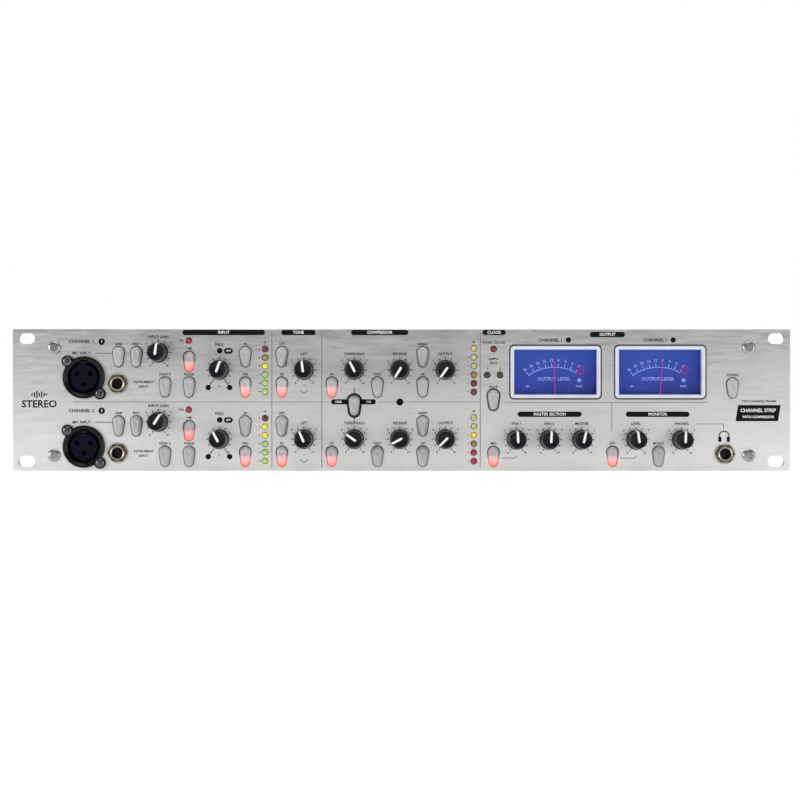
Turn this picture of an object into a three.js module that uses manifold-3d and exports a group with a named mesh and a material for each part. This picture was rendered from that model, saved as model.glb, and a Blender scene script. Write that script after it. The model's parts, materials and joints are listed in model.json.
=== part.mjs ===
// A two-channel rack compressor, 2 rack units high, with microphone inputs, two moving-needle meters and a
// headphone output. Millimetres, +Z up, the front panel facing -Y, +X to the right as seen from the front.
// Depth along Y is stated from the front panel's outer face, and the last lines centre it on the origin.
import * as THREE from "three";
import { mergeVertices } from "three/addons/utils/BufferGeometryUtils.js";
import Module from "manifold-3d";

const wasm = await Module();
wasm.setup();

// ---------------------------------------------------------------- driving dimensions
const GAP = 0.3; // what touching pieces keep between them
const SLACK = 0.4; // what a hole leaves round the piece that stands in it

const PANEL = { width: 482.6, height: 88.1, thickness: 3.7, corner: 1.5, backStep: 0.2 };
const RACK_SLOT = { length: 10.3, width: 6.8, x: 232.55, spacingZ: 76.2 };
const FASCIA_SCREW = { x: 215.5, zLow: 9.6, zHigh: 76.4, hole: 1.9 };

const SHEET = 1.2;
const CHASSIS = { halfWidth: 220.5, bottom: 1, top: 87, front: 3.8, back: 255.2 };
const FLANGE = 9.5;
const VENT = { width: 3, length: 36, pitch: 8, count: 12 };

const CHANNEL_DROP = 42.9; // channel 2 repeats channel 1 this far lower down
const CHANNELS = [1, 2];

const KNOB = { base: 6.2, top: 5, front: 15.6, foot: 0.6, shaft: 3, shaftEnd: 12.5 };
const POINTER = { proud: 0.3, width: 1.3, tail: 1.7 }; // from just past the knob's middle to its edge
const KNOB_STOP = 150; // degrees each side of straight up
const KNOB_SIDES = 12;

const BUTTON = { width: 7, height: 12.4, front: 3, back: 1.2, stem: 1.5, stemEnd: 9, taper: 0.72 };
const LATCHED_IN = 1.6;

const LED = { radius: 1.5, proud: 0.3, hole: 1.95, sides: 6 };
const BOARD = { thickness: 1.6, controlFace: 14, inputFace: 34, mainBottom: 3.8 };
const POT = { width: 10, height: 11, front: 8 };
const SWITCH = { width: 7.2, height: 8, front: 7.5, pocket: 3.8 };
const CHIP = { length: 18, width: 10, height: 4 };
const CAPACITOR = { size: 12, height: 24 };

const NOSE = 2; // how far a connector's flange or nut stands off the wall
const XLR = { x: -197, z: 58, flange: 13.15, barrel: 11.7, mouth: 10.2, insert: 8.4, ear: 3.6, earAt: 10.1 };
const XLR_PINS = [[-4.2, 2.4], [4.2, 2.4], [0, -4.2]];
const XLR_INPUT = { length: 34, groove: 11, pinHole: 1.5, pinDepth: 9 };
const XLR_OUTPUT = { length: 16, mouth: 9.4, mouthDepth: 12, pin: 1.2, pinFront: 1, foot: 11 };
const JACK = { nut: 5.65, bushing: 4.4, bore: 3.3, boreDepth: 31, body: 14, bodyHeight: 12.6 };
JACK.bushingHole = 4.8;
const REAR_JACK = { nut: 6.4, bodyBack: 35 };
const INPUT_JACK = { x: -176, z: 54.2 };
const PHONES_JACK = { x: 200.6, z: 10.7 };

const METER = { xLeft: 95.6, xRight: 160.6, z: 61.4, width: 56.6, height: 33.2, corner: 2.6, proud: 0.8 };
const DIAL = { width: 51.1, height: 28.7, face: 7, post: 1 };
METER.pivotZ = METER.z - DIAL.height / 2 - 10;
const METER_BODY = { halfWidth: 30, back: 26, below: 6, above: 2 };
const NEEDLE = { length: 29.5, tail: 4.5, width: 0.9, depth: 5.4, thickness: 0.5, hub: 2.4, bore: 1.4 };

const TRANSFORMER = { x: 85, depth: 150, radius: 38, hole: 11, height: 34, corner: 7, bolt: 5.5 };

// Knobs: [name, x, z, pointer angle clockwise from straight up in channel 1, in channel 2]
const CHANNEL_KNOBS = [
  ["input_gain_knob", -150.8, 73.4, 8, 32],
  ["high_pass_knob", -113, 62.7, 20, -28],
  ["air_knob", -60.5, 62.7, -7, -24],
  ["threshold_knob", -29.3, 62.7, -27, -55],
  ["release_knob", -1, 62.7, -148, -118],
  ["makeup_gain_knob", 27.3, 62.7, -145, -135],
];
const OUTPUT_KNOB_Z = 19.4;
const OUTPUT_KNOBS = [
  ["channel_1_pan_knob", 71.4, -3],
  ["channel_2_pan_knob", 91.7, 3],
  ["master_level_knob", 111.9, 13],
  ["monitor_level_knob", 145.5, -8],
  ["headphone_level_knob", 173.9, 2],
];

// Buttons: [name, x, z, latched in]
const CHANNEL_BUTTONS = [
  ["line_input_button", -175.5, 70.9, false],
  ["instrument_button", -164.5, 70.9, false],
  ["impedance_button", -146.7, 52.1, false],
  ["phantom_button", -131.8, 68, true],
  ["phase_button", -131.8, 52.1, false],
  ["high_pass_in_button", -96.9, 70.9, false],
  ["insert_button", -96.9, 52.1, true],
  ["air_in_button", -74.2, 70.9, false],
  ["filter_button", -74.2, 52.1, true],
  ["compressor_in_button", -43.25, 52.1, true],
  ["fast_attack_button", -14.9, 52.1, false],
  ["hard_ratio_button", 13.2, 70.9, false],
  ["treble_button", 13.2, 52.1, false],
];
const COMMON_BUTTONS = [
  ["stereo_link_button", -29.3, 40.6, false],
  ["sample_rate_button", 57.1, 44.2, false],
  ["monitor_mix_button", 57.1, 9.1, true],
  ["return_button", 131, 9.1, true],
  ["mono_button", 159.5, 9.1, false],
  ["power_button", 205.4, 51.5, false],
];

// Indicator lights: columns of six per channel, one overload light per channel, three digital lights
const LED_COLUMNS = [
  { x: -84.6, z: 75.7, pitch: 5.3 },
  { x: 44.9, z: 76, pitch: 5.4 },
];
const LEDS_PER_COLUMN = 6;
const OVERLOAD_LED = [-132, 81];
const DIGITAL_LEDS = [
  [57.2, 75.7],
  [53.2, 59.6],
  [61.2, 59.6],
];

const REAR = { boardBack: 250, connectorZ: 22, upperZ: 44, xlrX: [-60, -104] };
REAR.jackX = [-138, -160, -182];
const OPTION_SLOT = { x: 65, z: 55, width: 70, height: 18 };
const INLET = { x: 180, width: 27.8, height: 20.2, flangeWidth: 33, flangeHeight: 26, proud: 2.2, back: 20 };
const INLET_MOUTH = { width: 24, height: 16.4, depth: 15 };
const INLET_BLADES = [[-7, 1], [0, -3], [7, 1]];

// ---------------------------------------------------------------- materials
const finish = (color, roughness, metalness) =>
  new THREE.MeshStandardMaterial({ color, roughness, metalness });
const FINISH = {
  panel: finish(0xd0d1d4, 0.38, 0.85),
  chassis: finish(0x26272a, 0.6, 0.3),
  knob: finish(0x24252a, 0.45, 0),
  button: finish(0xb9b9bd, 0.4, 0),
  litButton: finish(0xf2a3a3, 0.4, 0),
  socket: finish(0x16171c, 0.4, 0.2),
  meter: finish(0x2d41a0, 0.5, 0),
  needle: finish(0xd0205a, 0.5, 0),
  board: finish(0x1f5a36, 0.6, 0),
  transformer: finish(0x2b2f38, 0.7, 0),
};

// ---------------------------------------------------------------- solids
// A closed three.js geometry as a manifold-3d solid.
function solid(geometry) {
  const shared = geometry.clone();
  shared.deleteAttribute("normal");
  shared.deleteAttribute("uv");
  const merged = mergeVertices(shared, 1e-4);
  const vertProperties = new Float32Array(merged.attributes.position.array);
  const triVerts = new Uint32Array(merged.index.array);
  return new wasm.Manifold(new wasm.Mesh({ numProp: 3, vertProperties, triVerts }));
}

// A manifold-3d solid as a named mesh.
function mesh(name, body, material) {
  const made = body.getMesh();
  const geometry = new THREE.BufferGeometry();
  geometry.setAttribute("position", new THREE.BufferAttribute(made.vertProperties, 3));
  geometry.setIndex(new THREE.BufferAttribute(made.triVerts, 1));
  geometry.computeVertexNormals();
  const result = new THREE.Mesh(geometry, material);
  result.name = name;
  return result;
}

// A box from its low and high corners.
function box(low, high) {
  const size = high.map((value, axis) => value - low[axis]);
  const geometry = new THREE.BoxGeometry(...size);
  return solid(geometry.translate(...low.map((value, axis) => value + size[axis] / 2)));
}

// A box centred on (x, z) with its Y faces at two depths.
const block = (x, z, width, height, front, back) =>
  box([x - width / 2, front, z - height / 2], [x + width / 2, back, z + height / 2]);

// A shape drawn in X and Z, given thickness from one depth to another.
function plate(shape, front, back, curveSegments = 3) {
  const geometry = new THREE.ExtrudeGeometry(shape, {
    depth: back - front,
    bevelEnabled: false,
    curveSegments,
  });
  return solid(geometry.rotateX(Math.PI / 2).translate(0, back, 0));
}

// A round bar along Y.
function bar(x, z, radius, front, back, sides = 16) {
  const geometry = new THREE.CylinderGeometry(radius, radius, back - front, sides);
  return solid(geometry.translate(x, (front + back) / 2, z));
}

// A turned piece about the Y axis from [radius, depth] points that start and end on the axis.
function turned(points, sides) {
  const profile = points.map(([radius, depth]) => new THREE.Vector2(radius, depth));
  return solid(new THREE.LatheGeometry(profile, sides));
}

const join = (bodies) => bodies.reduce((whole, body) => whole.add(body));
const cut = (whole, bodies) => whole.subtract(join(bodies));

// A slot with round ends, longer along X.
function slotShape(x, z, length, width) {
  const radius = width / 2;
  const reach = length / 2 - radius;
  const shape = new THREE.Shape();
  shape.absarc(x + reach, z, radius, -Math.PI / 2, Math.PI / 2, false);
  shape.absarc(x - reach, z, radius, Math.PI / 2, (3 * Math.PI) / 2, false);
  shape.closePath();
  return shape;
}

// A rectangle with round corners.
function roundedShape(x, z, width, height, radius) {
  const shape = new THREE.Shape();
  const dx = width / 2 - radius;
  const dz = height / 2 - radius;
  const quarter = Math.PI / 2;
  shape.absarc(x + dx, z - dz, radius, -quarter, 0, false);
  shape.absarc(x + dx, z + dz, radius, 0, quarter, false);
  shape.absarc(x - dx, z + dz, radius, quarter, 2 * quarter, false);
  shape.absarc(x - dx, z - dz, radius, 2 * quarter, 3 * quarter, false);
  shape.closePath();
  return shape;
}

// An egg: a wide round top and a narrower round bottom joined by their tangents, grown by a margin.
function eggShape(x, z, margin) {
  const topRadius = BUTTON.width / 2;
  const bottomRadius = topRadius * BUTTON.taper;
  const topZ = z + BUTTON.height / 2 - topRadius;
  const bottomZ = z - BUTTON.height / 2 + bottomRadius;
  const tilt = -Math.asin((topRadius - bottomRadius) / (topZ - bottomZ));
  const shape = new THREE.Shape();
  shape.absarc(x, topZ, topRadius + margin, tilt, Math.PI - tilt, false);
  shape.absarc(x, bottomZ, bottomRadius + margin, Math.PI - tilt, 2 * Math.PI + tilt, false);
  shape.closePath();
  return shape;
}

// ---------------------------------------------------------------- where the controls sit
const channelZ = (z, channel) => z - (channel - 1) * CHANNEL_DROP;

function everyKnob() {
  const channelKnobs = CHANNELS.flatMap((channel) =>
    CHANNEL_KNOBS.map(([name, x, z, ...angles]) => ({
      name: `${name}_${channel}`,
      x,
      z: channelZ(z, channel),
      angle: angles[channel - 1],
    })),
  );
  const outputKnobs = OUTPUT_KNOBS.map(([name, x, angle]) => ({ name, x, z: OUTPUT_KNOB_Z, angle }));
  return [...channelKnobs, ...outputKnobs];
}

function everyButton() {
  const channelButtons = CHANNELS.flatMap((channel) =>
    CHANNEL_BUTTONS.map(([name, x, z, latched]) => ({
      name: `${name}_${channel}`,
      x,
      z: channelZ(z, channel),
      latched,
    })),
  );
  const commonButtons = COMMON_BUTTONS.map(([name, x, z, latched]) => ({ name, x, z, latched }));
  return [...channelButtons, ...commonButtons];
}

function everyLed() {
  const channelLeds = CHANNELS.flatMap((channel) => {
    const columns = LED_COLUMNS.flatMap(({ x, z, pitch }) =>
      Array.from({ length: LEDS_PER_COLUMN }, (_, row) => [x, channelZ(z - row * pitch, channel)]),
    );
    return [[OVERLOAD_LED[0], channelZ(OVERLOAD_LED[1], channel)], ...columns];
  });
  return [...channelLeds, ...DIGITAL_LEDS];
}

const KNOBS = everyKnob();
const BUTTONS = everyButton();
const LEDS = everyLed();
const INPUT_JACKS = CHANNELS.map((channel) => [INPUT_JACK.x, channelZ(INPUT_JACK.z, channel)]);
const INPUT_XLRS = CHANNELS.map((channel) => [XLR.x, channelZ(XLR.z, channel)]);
const FRONT_JACKS = [...INPUT_JACKS, [PHONES_JACK.x, PHONES_JACK.z]];
const METERS_X = [METER.xLeft, METER.xRight];

// ---------------------------------------------------------------- front panel
function frontPanel() {
  const { width, height, thickness, corner, backStep } = PANEL;
  const outline = roundedShape(0, height / 2, width, height, corner);
  const throughHoles = [];
  for (const side of [-1, 1]) {
    for (const end of [-1, 1]) {
      const z = height / 2 + (end * RACK_SLOT.spacingZ) / 2;
      throughHoles.push(slotShape(side * RACK_SLOT.x, z, RACK_SLOT.length, RACK_SLOT.width));
    }
  }
  for (const { x, z } of BUTTONS) throughHoles.push(eggShape(x, z, SLACK));
  for (const x of METERS_X) {
    const hole = [METER.width + 2 * SLACK, METER.height + 2 * SLACK, METER.corner + SLACK];
    throughHoles.push(roundedShape(x, METER.z, ...hole));
  }
  outline.holes = throughHoles;
  const drilled = [
    ...KNOBS.map(({ x, z }) => [x, z, KNOB.shaft + 2 * SLACK, 10]),
    ...LEDS.map(([x, z]) => [x, z, LED.hole, LED.sides]),
    ...INPUT_XLRS.map(([x, z]) => [x, z, XLR.barrel + SLACK, 24]),
    ...FRONT_JACKS.map(([x, z]) => [x, z, JACK.bushingHole, 16]),
  ];
  for (const side of [-1, 1]) {
    for (const z of [FASCIA_SCREW.zLow, FASCIA_SCREW.zHigh]) {
      drilled.push([side * FASCIA_SCREW.x, z, FASCIA_SCREW.hole, 8]);
    }
  }
  const holes = drilled.map(([x, z, radius, sides]) => bar(x, z, radius, -1, thickness + 1, sides));
  const stepEdge = CHASSIS.halfWidth + 1;
  const step = box([-stepEdge, thickness - backStep, -1], [stepEdge, thickness + 1, height + 1]);
  return cut(plate(outline, 0, thickness), [...holes, step]);
}

// ---------------------------------------------------------------- chassis
// The tray: floor, two sides with a front flange each, and the rear wall with the connector holes.
function chassisTray() {
  const { halfWidth, bottom, top, front, back } = CHASSIS;
  const through = [back - 3, back + 3];
  const wallTop = top - SHEET - GAP;
  const floor = box([-halfWidth, front, bottom], [halfWidth, back, bottom + SHEET]);
  const rear = box([-halfWidth, back - SHEET, bottom], [halfWidth, back, wallTop]);
  const sides = [-1, 1].flatMap((side) => {
    const outer = side * halfWidth;
    const inner = side * (halfWidth - SHEET);
    const lip = side * (halfWidth - FLANGE);
    const upright = (edge, end) =>
      box([Math.min(outer, edge), front, bottom], [Math.max(outer, edge), end, wallTop]);
    return [upright(inner, back), upright(lip, front + SHEET)];
  });
  const rearHoles = [
    ...REAR.xlrX.map((x) => bar(x, REAR.connectorZ, XLR.barrel + SLACK, ...through, 24)),
    ...REAR.jackX.flatMap((x) =>
      [REAR.connectorZ, REAR.upperZ].map((z) => bar(x, z, JACK.bushingHole, ...through, 16)),
    ),
    block(INLET.x, REAR.connectorZ, INLET.width + 2 * SLACK, INLET.height + 2 * SLACK, ...through),
    block(OPTION_SLOT.x, OPTION_SLOT.z, OPTION_SLOT.width, OPTION_SLOT.height, ...through),
  ];
  const screwHoles = [-1, 1].flatMap((side) =>
    [FASCIA_SCREW.zLow, FASCIA_SCREW.zHigh].map((z) =>
      bar(side * FASCIA_SCREW.x, z, FASCIA_SCREW.hole, front - 1, front + 3, 8),
    ),
  );
  return cut(join([floor, rear, ...sides]), [...rearHoles, ...screwHoles]);
}

// The cover: a top plate with two rows of vent slots, side skirts outside the tray, and a rear lip.
function topCover() {
  const { halfWidth, top, front, back } = CHASSIS;
  const outer = halfWidth + GAP + SHEET;
  const skirtBottom = top - 14;
  const rearInner = back + GAP;
  const rearOuter = rearInner + SHEET;
  const plateTop = box([-outer, PANEL.thickness + GAP, top - SHEET], [outer, rearOuter, top]);
  const lip = box([-outer, rearInner, top - 8], [outer, rearOuter, top]);
  const skirts = [-1, 1].map((side) => {
    const faces = [side * outer, side * (outer - SHEET)].sort((a, b) => a - b);
    return box([faces[0], PANEL.thickness + GAP, skirtBottom], [faces[1], rearOuter, top]);
  });
  const vents = [70, 190].flatMap((depth) =>
    Array.from({ length: VENT.count }, (_, i) => {
      const x = TRANSFORMER.x + (i - (VENT.count - 1) / 2) * VENT.pitch;
      return box(
        [x - VENT.width / 2, depth - VENT.length / 2, top - 3],
        [x + VENT.width / 2, depth + VENT.length / 2, top + 1],
      );
    }),
  );
  return cut(join([plateTop, lip, ...skirts]), vents);
}

// ---------------------------------------------------------------- connectors
// A round barrel through a wall, with a flange on the wall's face.
function connectorShell(flange, barrel, length) {
  const face = -GAP - NOSE;
  const profile = [[0, face], [flange, face], [flange, -GAP], [barrel, -GAP], [barrel, length], [0, length]];
  return turned(profile, 24);
}

// A three-pin round socket for a cable plug: a flange with two ears, a ring groove and a core with holes.
function femaleXlr(x, z) {
  const { flange, barrel, mouth, insert, ear, earAt } = XLR;
  const { length, groove, pinHole, pinDepth } = XLR_INPUT;
  const faceFront = -GAP - NOSE;
  const earBar = slotShape(0, 0, 2 * (Math.SQRT2 * earAt + ear), 2 * ear);
  const ears = plate(earBar, faceFront, -GAP).rotate([0, 45, 0]);
  const shell = join([connectorShell(flange, barrel, length), ears]);
  const hollow = turned([[0, faceFront - 1], [mouth, faceFront - 1], [mouth, groove], [0, groove]], 24);
  const coreEnd = groove + 1;
  const core = turned([[0, faceFront + 1], [insert, faceFront + 1], [insert, coreEnd], [0, coreEnd]], 24);
  const pins = XLR_PINS.map(([px, pz]) => bar(px, pz, pinHole, -5, pinDepth, 6));
  return cut(shell, [hollow]).add(cut(core, pins)).translate(x, 0, z);
}

// A quarter-inch jack with its nut, bushing and body, opening towards -Y at the given face depth.
function jack(x, z, bodyBack) {
  const { nut, bushing, bore, boreDepth, body, bodyHeight } = JACK;
  const made = join([
    bar(x, z, nut, -GAP - NOSE, -GAP, 20),
    bar(x, z, bushing, -GAP - 1, PANEL.thickness + 2, 16),
    block(x, z, body, bodyHeight, PANEL.thickness + GAP, bodyBack),
  ]);
  return cut(made, [bar(x, z, bore, -5, boreDepth, 16)]);
}

function inputSockets() {
  const face = BOARD.inputFace;
  const carrier = box([-211, face, 5], [-166, face + BOARD.thickness, 82]);
  const sockets = INPUT_XLRS.map(([x, z]) => femaleXlr(x, z));
  const jacks = INPUT_JACKS.map(([x, z]) => jack(x, z, face + 1));
  return join([carrier, ...sockets, ...jacks]);
}

// A connector made for the front is turned round to open through the rear wall.
const facingRear = (body) => body.rotate([0, 0, 180]).translate(0, CHASSIS.back, 0);

// A three-pin output plug: a ring open to the rear with three pins standing in it.
function maleXlr(x) {
  const { flange, barrel } = XLR;
  const { length, mouth, mouthDepth, pin, pinFront, foot } = XLR_OUTPUT;
  const open = -GAP - NOSE - 1;
  const z = REAR.connectorZ;
  const standing = box([-foot, 3, BOARD.mainBottom + 1 - z], [foot, length, 0]);
  const outside = connectorShell(flange, barrel, length).add(standing);
  const hollow = turned([[0, open], [mouth, open], [mouth, mouthDepth], [0, mouthDepth]], 24);
  const pins = XLR_PINS.map(([px, pz]) => bar(px, pz, pin, pinFront, mouthDepth + 1, 8));
  return facingRear(join([cut(outside, [hollow]), ...pins]).translate(-x, 0, z));
}

// A pair of jacks one above the other in one tall body.
function rearJackPair(x) {
  const { nut, bodyBack } = REAR_JACK;
  const { bushing, bore, boreDepth, body } = JACK;
  const levels = [REAR.connectorZ, REAR.upperZ];
  const low = [-x - body / 2, SHEET + GAP, BOARD.mainBottom + 1];
  const stack = box(low, [-x + body / 2, bodyBack, REAR.upperZ + body / 2]);
  const noses = levels.map((z) =>
    join([bar(-x, z, nut, -GAP - NOSE, -GAP, 16), bar(-x, z, bushing, -1, SHEET + 2, 16)]),
  );
  const bores = levels.map((z) => bar(-x, z, bore, -5, boreDepth, 12));
  return facingRear(cut(join([stack, ...noses]), bores));
}

// The mains inlet: flange, mouth with three blades, and a foot down to the board.
function mainsInlet() {
  const { x, width, height, flangeWidth, flangeHeight, proud, back } = INLET;
  const z = REAR.connectorZ;
  const made = join([
    block(-x, z, flangeWidth, flangeHeight, -GAP - proud, -GAP),
    block(-x, z, width, height, -1, back),
    box([-x - 12, 4, BOARD.mainBottom + 1], [-x + 12, back, z]),
  ]);
  const { width: mouthWidth, height: mouthHeight, depth } = INLET_MOUTH;
  const mouth = block(-x, z, mouthWidth, mouthHeight, -5, depth);
  const blades = INLET_BLADES.map(([bx, bz]) => block(bx - x, bz + z, 2, 4, 0, depth + 1));
  return facingRear(cut(made, [mouth]).add(join(blades)));
}

// The main board with the rear connectors, and a tongue that carries the headphone jack at the front.
function mainBoard() {
  const { mainBottom, thickness } = BOARD;
  const top = mainBottom + thickness;
  const strip = (x0, x1, y0, y1) => box([x0, y0, mainBottom], [x1, y1, top]);
  const standing = (x, y, length, width, high) =>
    box([x - length / 2, y - width / 2, mainBottom + 1], [x + length / 2, y + width / 2, high]);
  const phones = jack(PHONES_JACK.x, PHONES_JACK.z, BOARD.inputFace + 1);
  const parts = [
    strip(-205, 20, 90, REAR.boardBack),
    strip(19, 208, 225, REAR.boardBack),
    strip(193, 208, 12, REAR.boardBack),
    ...REAR.xlrX.map(maleXlr),
    ...REAR.jackX.map(rearJackPair),
    mainsInlet(),
    phones,
  ];
  const chips = [[-150, 120], [-110, 120], [-70, 120], [-30, 120], [-150, 165], [-70, 165]];
  for (const [x, y] of chips) parts.push(standing(x, y, CHIP.length, CHIP.width, top + CHIP.height));
  const { size, height } = CAPACITOR;
  for (const x of [-10, 6]) parts.push(standing(x, 196, size, size, top + height));
  return join(parts);
}

// ---------------------------------------------------------------- control board
// The upright board behind the panel: a pot behind each knob, a switch behind each button, and the lights.
function controlBoard() {
  const face = BOARD.controlFace;
  const board = box([-183.5, face, 4.5], [211, face + BOARD.thickness, 84]);
  const pots = KNOBS.map(({ x, z }) => block(x, z, POT.width, POT.height, POT.front, face + 0.5));
  const { width, height, front, pocket } = SWITCH;
  const switches = BUTTONS.map(({ x, z }) => block(x, z, width, height, front, face + 0.5));
  const lights = LEDS.map(([x, z]) => bar(x, z, LED.radius, -LED.proud, face + 0.5, LED.sides));
  const shaftBores = KNOBS.map(({ x, z }) => bar(x, z, KNOB.shaft + 2 * SLACK, 5, face - 1, 8));
  const stemPockets = BUTTONS.map(({ x, z }) => block(x, z, pocket, pocket, 5, face - 1));
  const jackWidth = JACK.body + 1.4;
  const jackHeight = JACK.bodyHeight + 1.4;
  const cutouts = [
    ...METERS_X.map((x) => block(x, 55.5, 61.8, 50.8, face - 1, face + 3)),
    ...FRONT_JACKS.map(([x, z]) => block(x, z, jackWidth, jackHeight, face - 1, face + 3)),
    box([PHONES_JACK.x - 8.6, face - 1, 0], [PHONES_JACK.x + 8.6, face + 3, 17.7]),
  ];
  const populated = cut(board, cutouts).add(join([...pots, ...switches, ...lights]));
  return cut(populated, [...shaftBores, ...stemPockets]);
}

// ---------------------------------------------------------------- meters
// The housing: a bezel through the panel, a wider body behind it, the dial recess and the needle's well.
function meterHousing() {
  const { z, width, height, corner, proud, pivotZ } = METER;
  const { halfWidth, back, below, above } = METER_BODY;
  const behind = PANEL.thickness + GAP;
  const bezel = plate(roundedShape(0, z, width, height, corner), -proud, behind + 1, 2);
  const rear = box([-halfWidth, behind, pivotZ - below], [halfWidth, back, z + height / 2 + above]);
  const recess = block(0, z, DIAL.width, DIAL.height, -2, DIAL.face);
  const well = box([-22, NEEDLE.depth - 0.5, pivotZ - NEEDLE.tail], [22, DIAL.face, z]);
  const post = bar(0, pivotZ, DIAL.post, NEEDLE.depth - 0.3, DIAL.face + 1, 8);
  return cut(join([bezel, rear]), [recess, well]).add(post);
}

// The needle: a tapered blade with a hub that turns on the post, and a short tail that balances it.
function needle() {
  const { length, tail, width, depth, thickness, hub, bore } = NEEDLE;
  const blade = new THREE.Shape([
    new THREE.Vector2(-width / 2, 0),
    new THREE.Vector2(width / 2, 0),
    new THREE.Vector2(width / 4, length),
    new THREE.Vector2(-width / 4, length),
  ]);
  const made = join([
    plate(blade, depth, depth + thickness),
    block(0, -tail / 2, 1.6, tail - 1.2, depth, depth + thickness),
    bar(0, 0, hub, depth - 0.1, depth + thickness + 0.4, 12),
  ]);
  return cut(made, [bar(0, 0, bore, 0, 9, 12)]);
}

// ---------------------------------------------------------------- transformer
// A ring transformer lying flat, held to the floor by a bolt and a dished washer.
function ringTransformer() {
  const { radius, hole, height, corner, bolt } = TRANSFORMER;
  const low = CHASSIS.bottom + SHEET + GAP;
  const high = low + height;
  const washer = hole + 14;
  const ring = [
    [0, low], [radius - corner, low], [radius - 2, low + 2], [radius, low + corner], [radius, high - corner],
    [radius - 2, high - 2], [radius - corner, high], [washer, high], [washer, high + 1.6],
    [bolt, high + 0.4], [bolt, high + 4.4], [0, high + 4.4],
  ];
  return turned(ring, 20).rotate([90, 0, 0]).translate(TRANSFORMER.x, TRANSFORMER.depth, 0);
}

// ---------------------------------------------------------------- knobs and buttons
function knob() {
  const { base, top, front, foot, shaft, shaftEnd } = KNOB;
  const profile = [
    [0, -front], [top, -front], [top + 0.45, -front + 0.6], [base, -foot - 1.6],
    [base, -foot], [shaft, -foot], [shaft, shaftEnd], [0, shaftEnd],
  ];
  const ridge = box(
    [-POINTER.width / 2, -front - POINTER.proud, -POINTER.tail],
    [POINTER.width / 2, -front + 1, top],
  );
  return turned(profile, KNOB_SIDES).add(ridge);
}

function button() {
  const { front, back, stem, stemEnd } = BUTTON;
  const cap = plate(eggShape(0, 0, 0), -front, back);
  return cap.add(box([-stem, back - 0.5, -stem], [stem, stemEnd, stem]));
}

// ---------------------------------------------------------------- the assembly
function fixedParts() {
  const group = new THREE.Group();
  group.add(mesh("front_panel", frontPanel(), FINISH.panel));
  group.add(mesh("chassis_tray", chassisTray(), FINISH.chassis));
  group.add(mesh("top_cover", topCover(), FINISH.chassis));
  group.add(mesh("input_sockets", inputSockets(), FINISH.socket));
  group.add(mesh("control_board", controlBoard(), FINISH.board));
  group.add(mesh("main_board", mainBoard(), FINISH.board));
  group.add(mesh("ring_transformer", ringTransformer(), FINISH.transformer));
  return group;
}

// Both meters: the housing stays still and the needle turns on its post, clockwise by its angle.
function meters() {
  const group = new THREE.Group();
  const housing = meterHousing();
  const pointer = needle();
  const sides = [["left", METER.xLeft, 0], ["right", METER.xRight, 4]];
  for (const [side, x, angle] of sides) {
    const body = mesh(`meter_${side}`, housing, FINISH.meter);
    body.position.x = x;
    const moving = mesh(`meter_needle_${side}`, pointer, FINISH.needle);
    moving.position.set(x, 0, METER.pivotZ);
    moving.rotation.y = THREE.MathUtils.degToRad(angle);
    group.add(body, moving);
  }
  return group;
}

function knobs() {
  const group = new THREE.Group();
  const shape = knob();
  for (const { name, x, z, angle } of KNOBS) {
    if (Math.abs(angle) > KNOB_STOP) throw new Error(`${name} is past its stop`);
    const made = mesh(name, shape, FINISH.knob);
    made.position.set(x, 0, z);
    made.rotation.y = THREE.MathUtils.degToRad(angle);
    group.add(made);
  }
  return group;
}

function buttons() {
  const group = new THREE.Group();
  const shape = button();
  for (const { name, x, z, latched } of BUTTONS) {
    const made = mesh(name, shape, latched ? FINISH.litButton : FINISH.button);
    made.position.set(x, latched ? LATCHED_IN : 0, z);
    group.add(made);
  }
  return group;
}

const group = new THREE.Group();
group.add(fixedParts(), meters(), knobs(), buttons());

// Y runs from the knobs' pointers in front to the connector flanges at the back, with the origin half-way.
const frontmost = -KNOB.front - POINTER.proud;
const rearmost = CHASSIS.back + GAP + INLET.proud;
group.position.y = -(frontmost + rearmost) / 2;

export default group;
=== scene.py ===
"""The looks of a two-channel rack compressor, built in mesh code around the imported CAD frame.

Shapes are drawn in millimetres: x to the right, z up, and depth counted from the front panel's outer face.
"""
import json
import math
import random

import bmesh
import bpy
from mathutils import Matrix, Vector
from mathutils.geometry import tessellate_polygon


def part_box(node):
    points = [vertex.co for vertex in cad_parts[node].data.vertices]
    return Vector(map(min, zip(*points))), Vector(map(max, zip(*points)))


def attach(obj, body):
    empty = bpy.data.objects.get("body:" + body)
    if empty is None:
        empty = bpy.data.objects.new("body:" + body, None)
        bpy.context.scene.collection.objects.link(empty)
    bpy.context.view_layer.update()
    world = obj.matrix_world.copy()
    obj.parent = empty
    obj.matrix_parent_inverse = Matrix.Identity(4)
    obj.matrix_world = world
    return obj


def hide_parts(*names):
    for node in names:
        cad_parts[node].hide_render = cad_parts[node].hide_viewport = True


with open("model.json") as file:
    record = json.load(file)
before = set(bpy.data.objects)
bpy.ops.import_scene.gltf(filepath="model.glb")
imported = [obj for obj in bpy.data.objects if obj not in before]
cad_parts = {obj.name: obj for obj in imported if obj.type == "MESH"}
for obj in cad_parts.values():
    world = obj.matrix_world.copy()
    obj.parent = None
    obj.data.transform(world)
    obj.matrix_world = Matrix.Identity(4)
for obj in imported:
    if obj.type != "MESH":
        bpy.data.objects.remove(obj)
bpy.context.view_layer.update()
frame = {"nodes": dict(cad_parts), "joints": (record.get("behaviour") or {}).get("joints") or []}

MM = 0.001
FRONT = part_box("front_panel")[0].y / MM
JOINT_OF = {joint["child"]: joint for joint in frame["joints"]}
KNOB_NODES = sorted(name for name in frame["nodes"] if "_knob" in name)
BUTTON_NODES = sorted(name for name in frame["nodes"] if "_button" in name)

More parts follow.
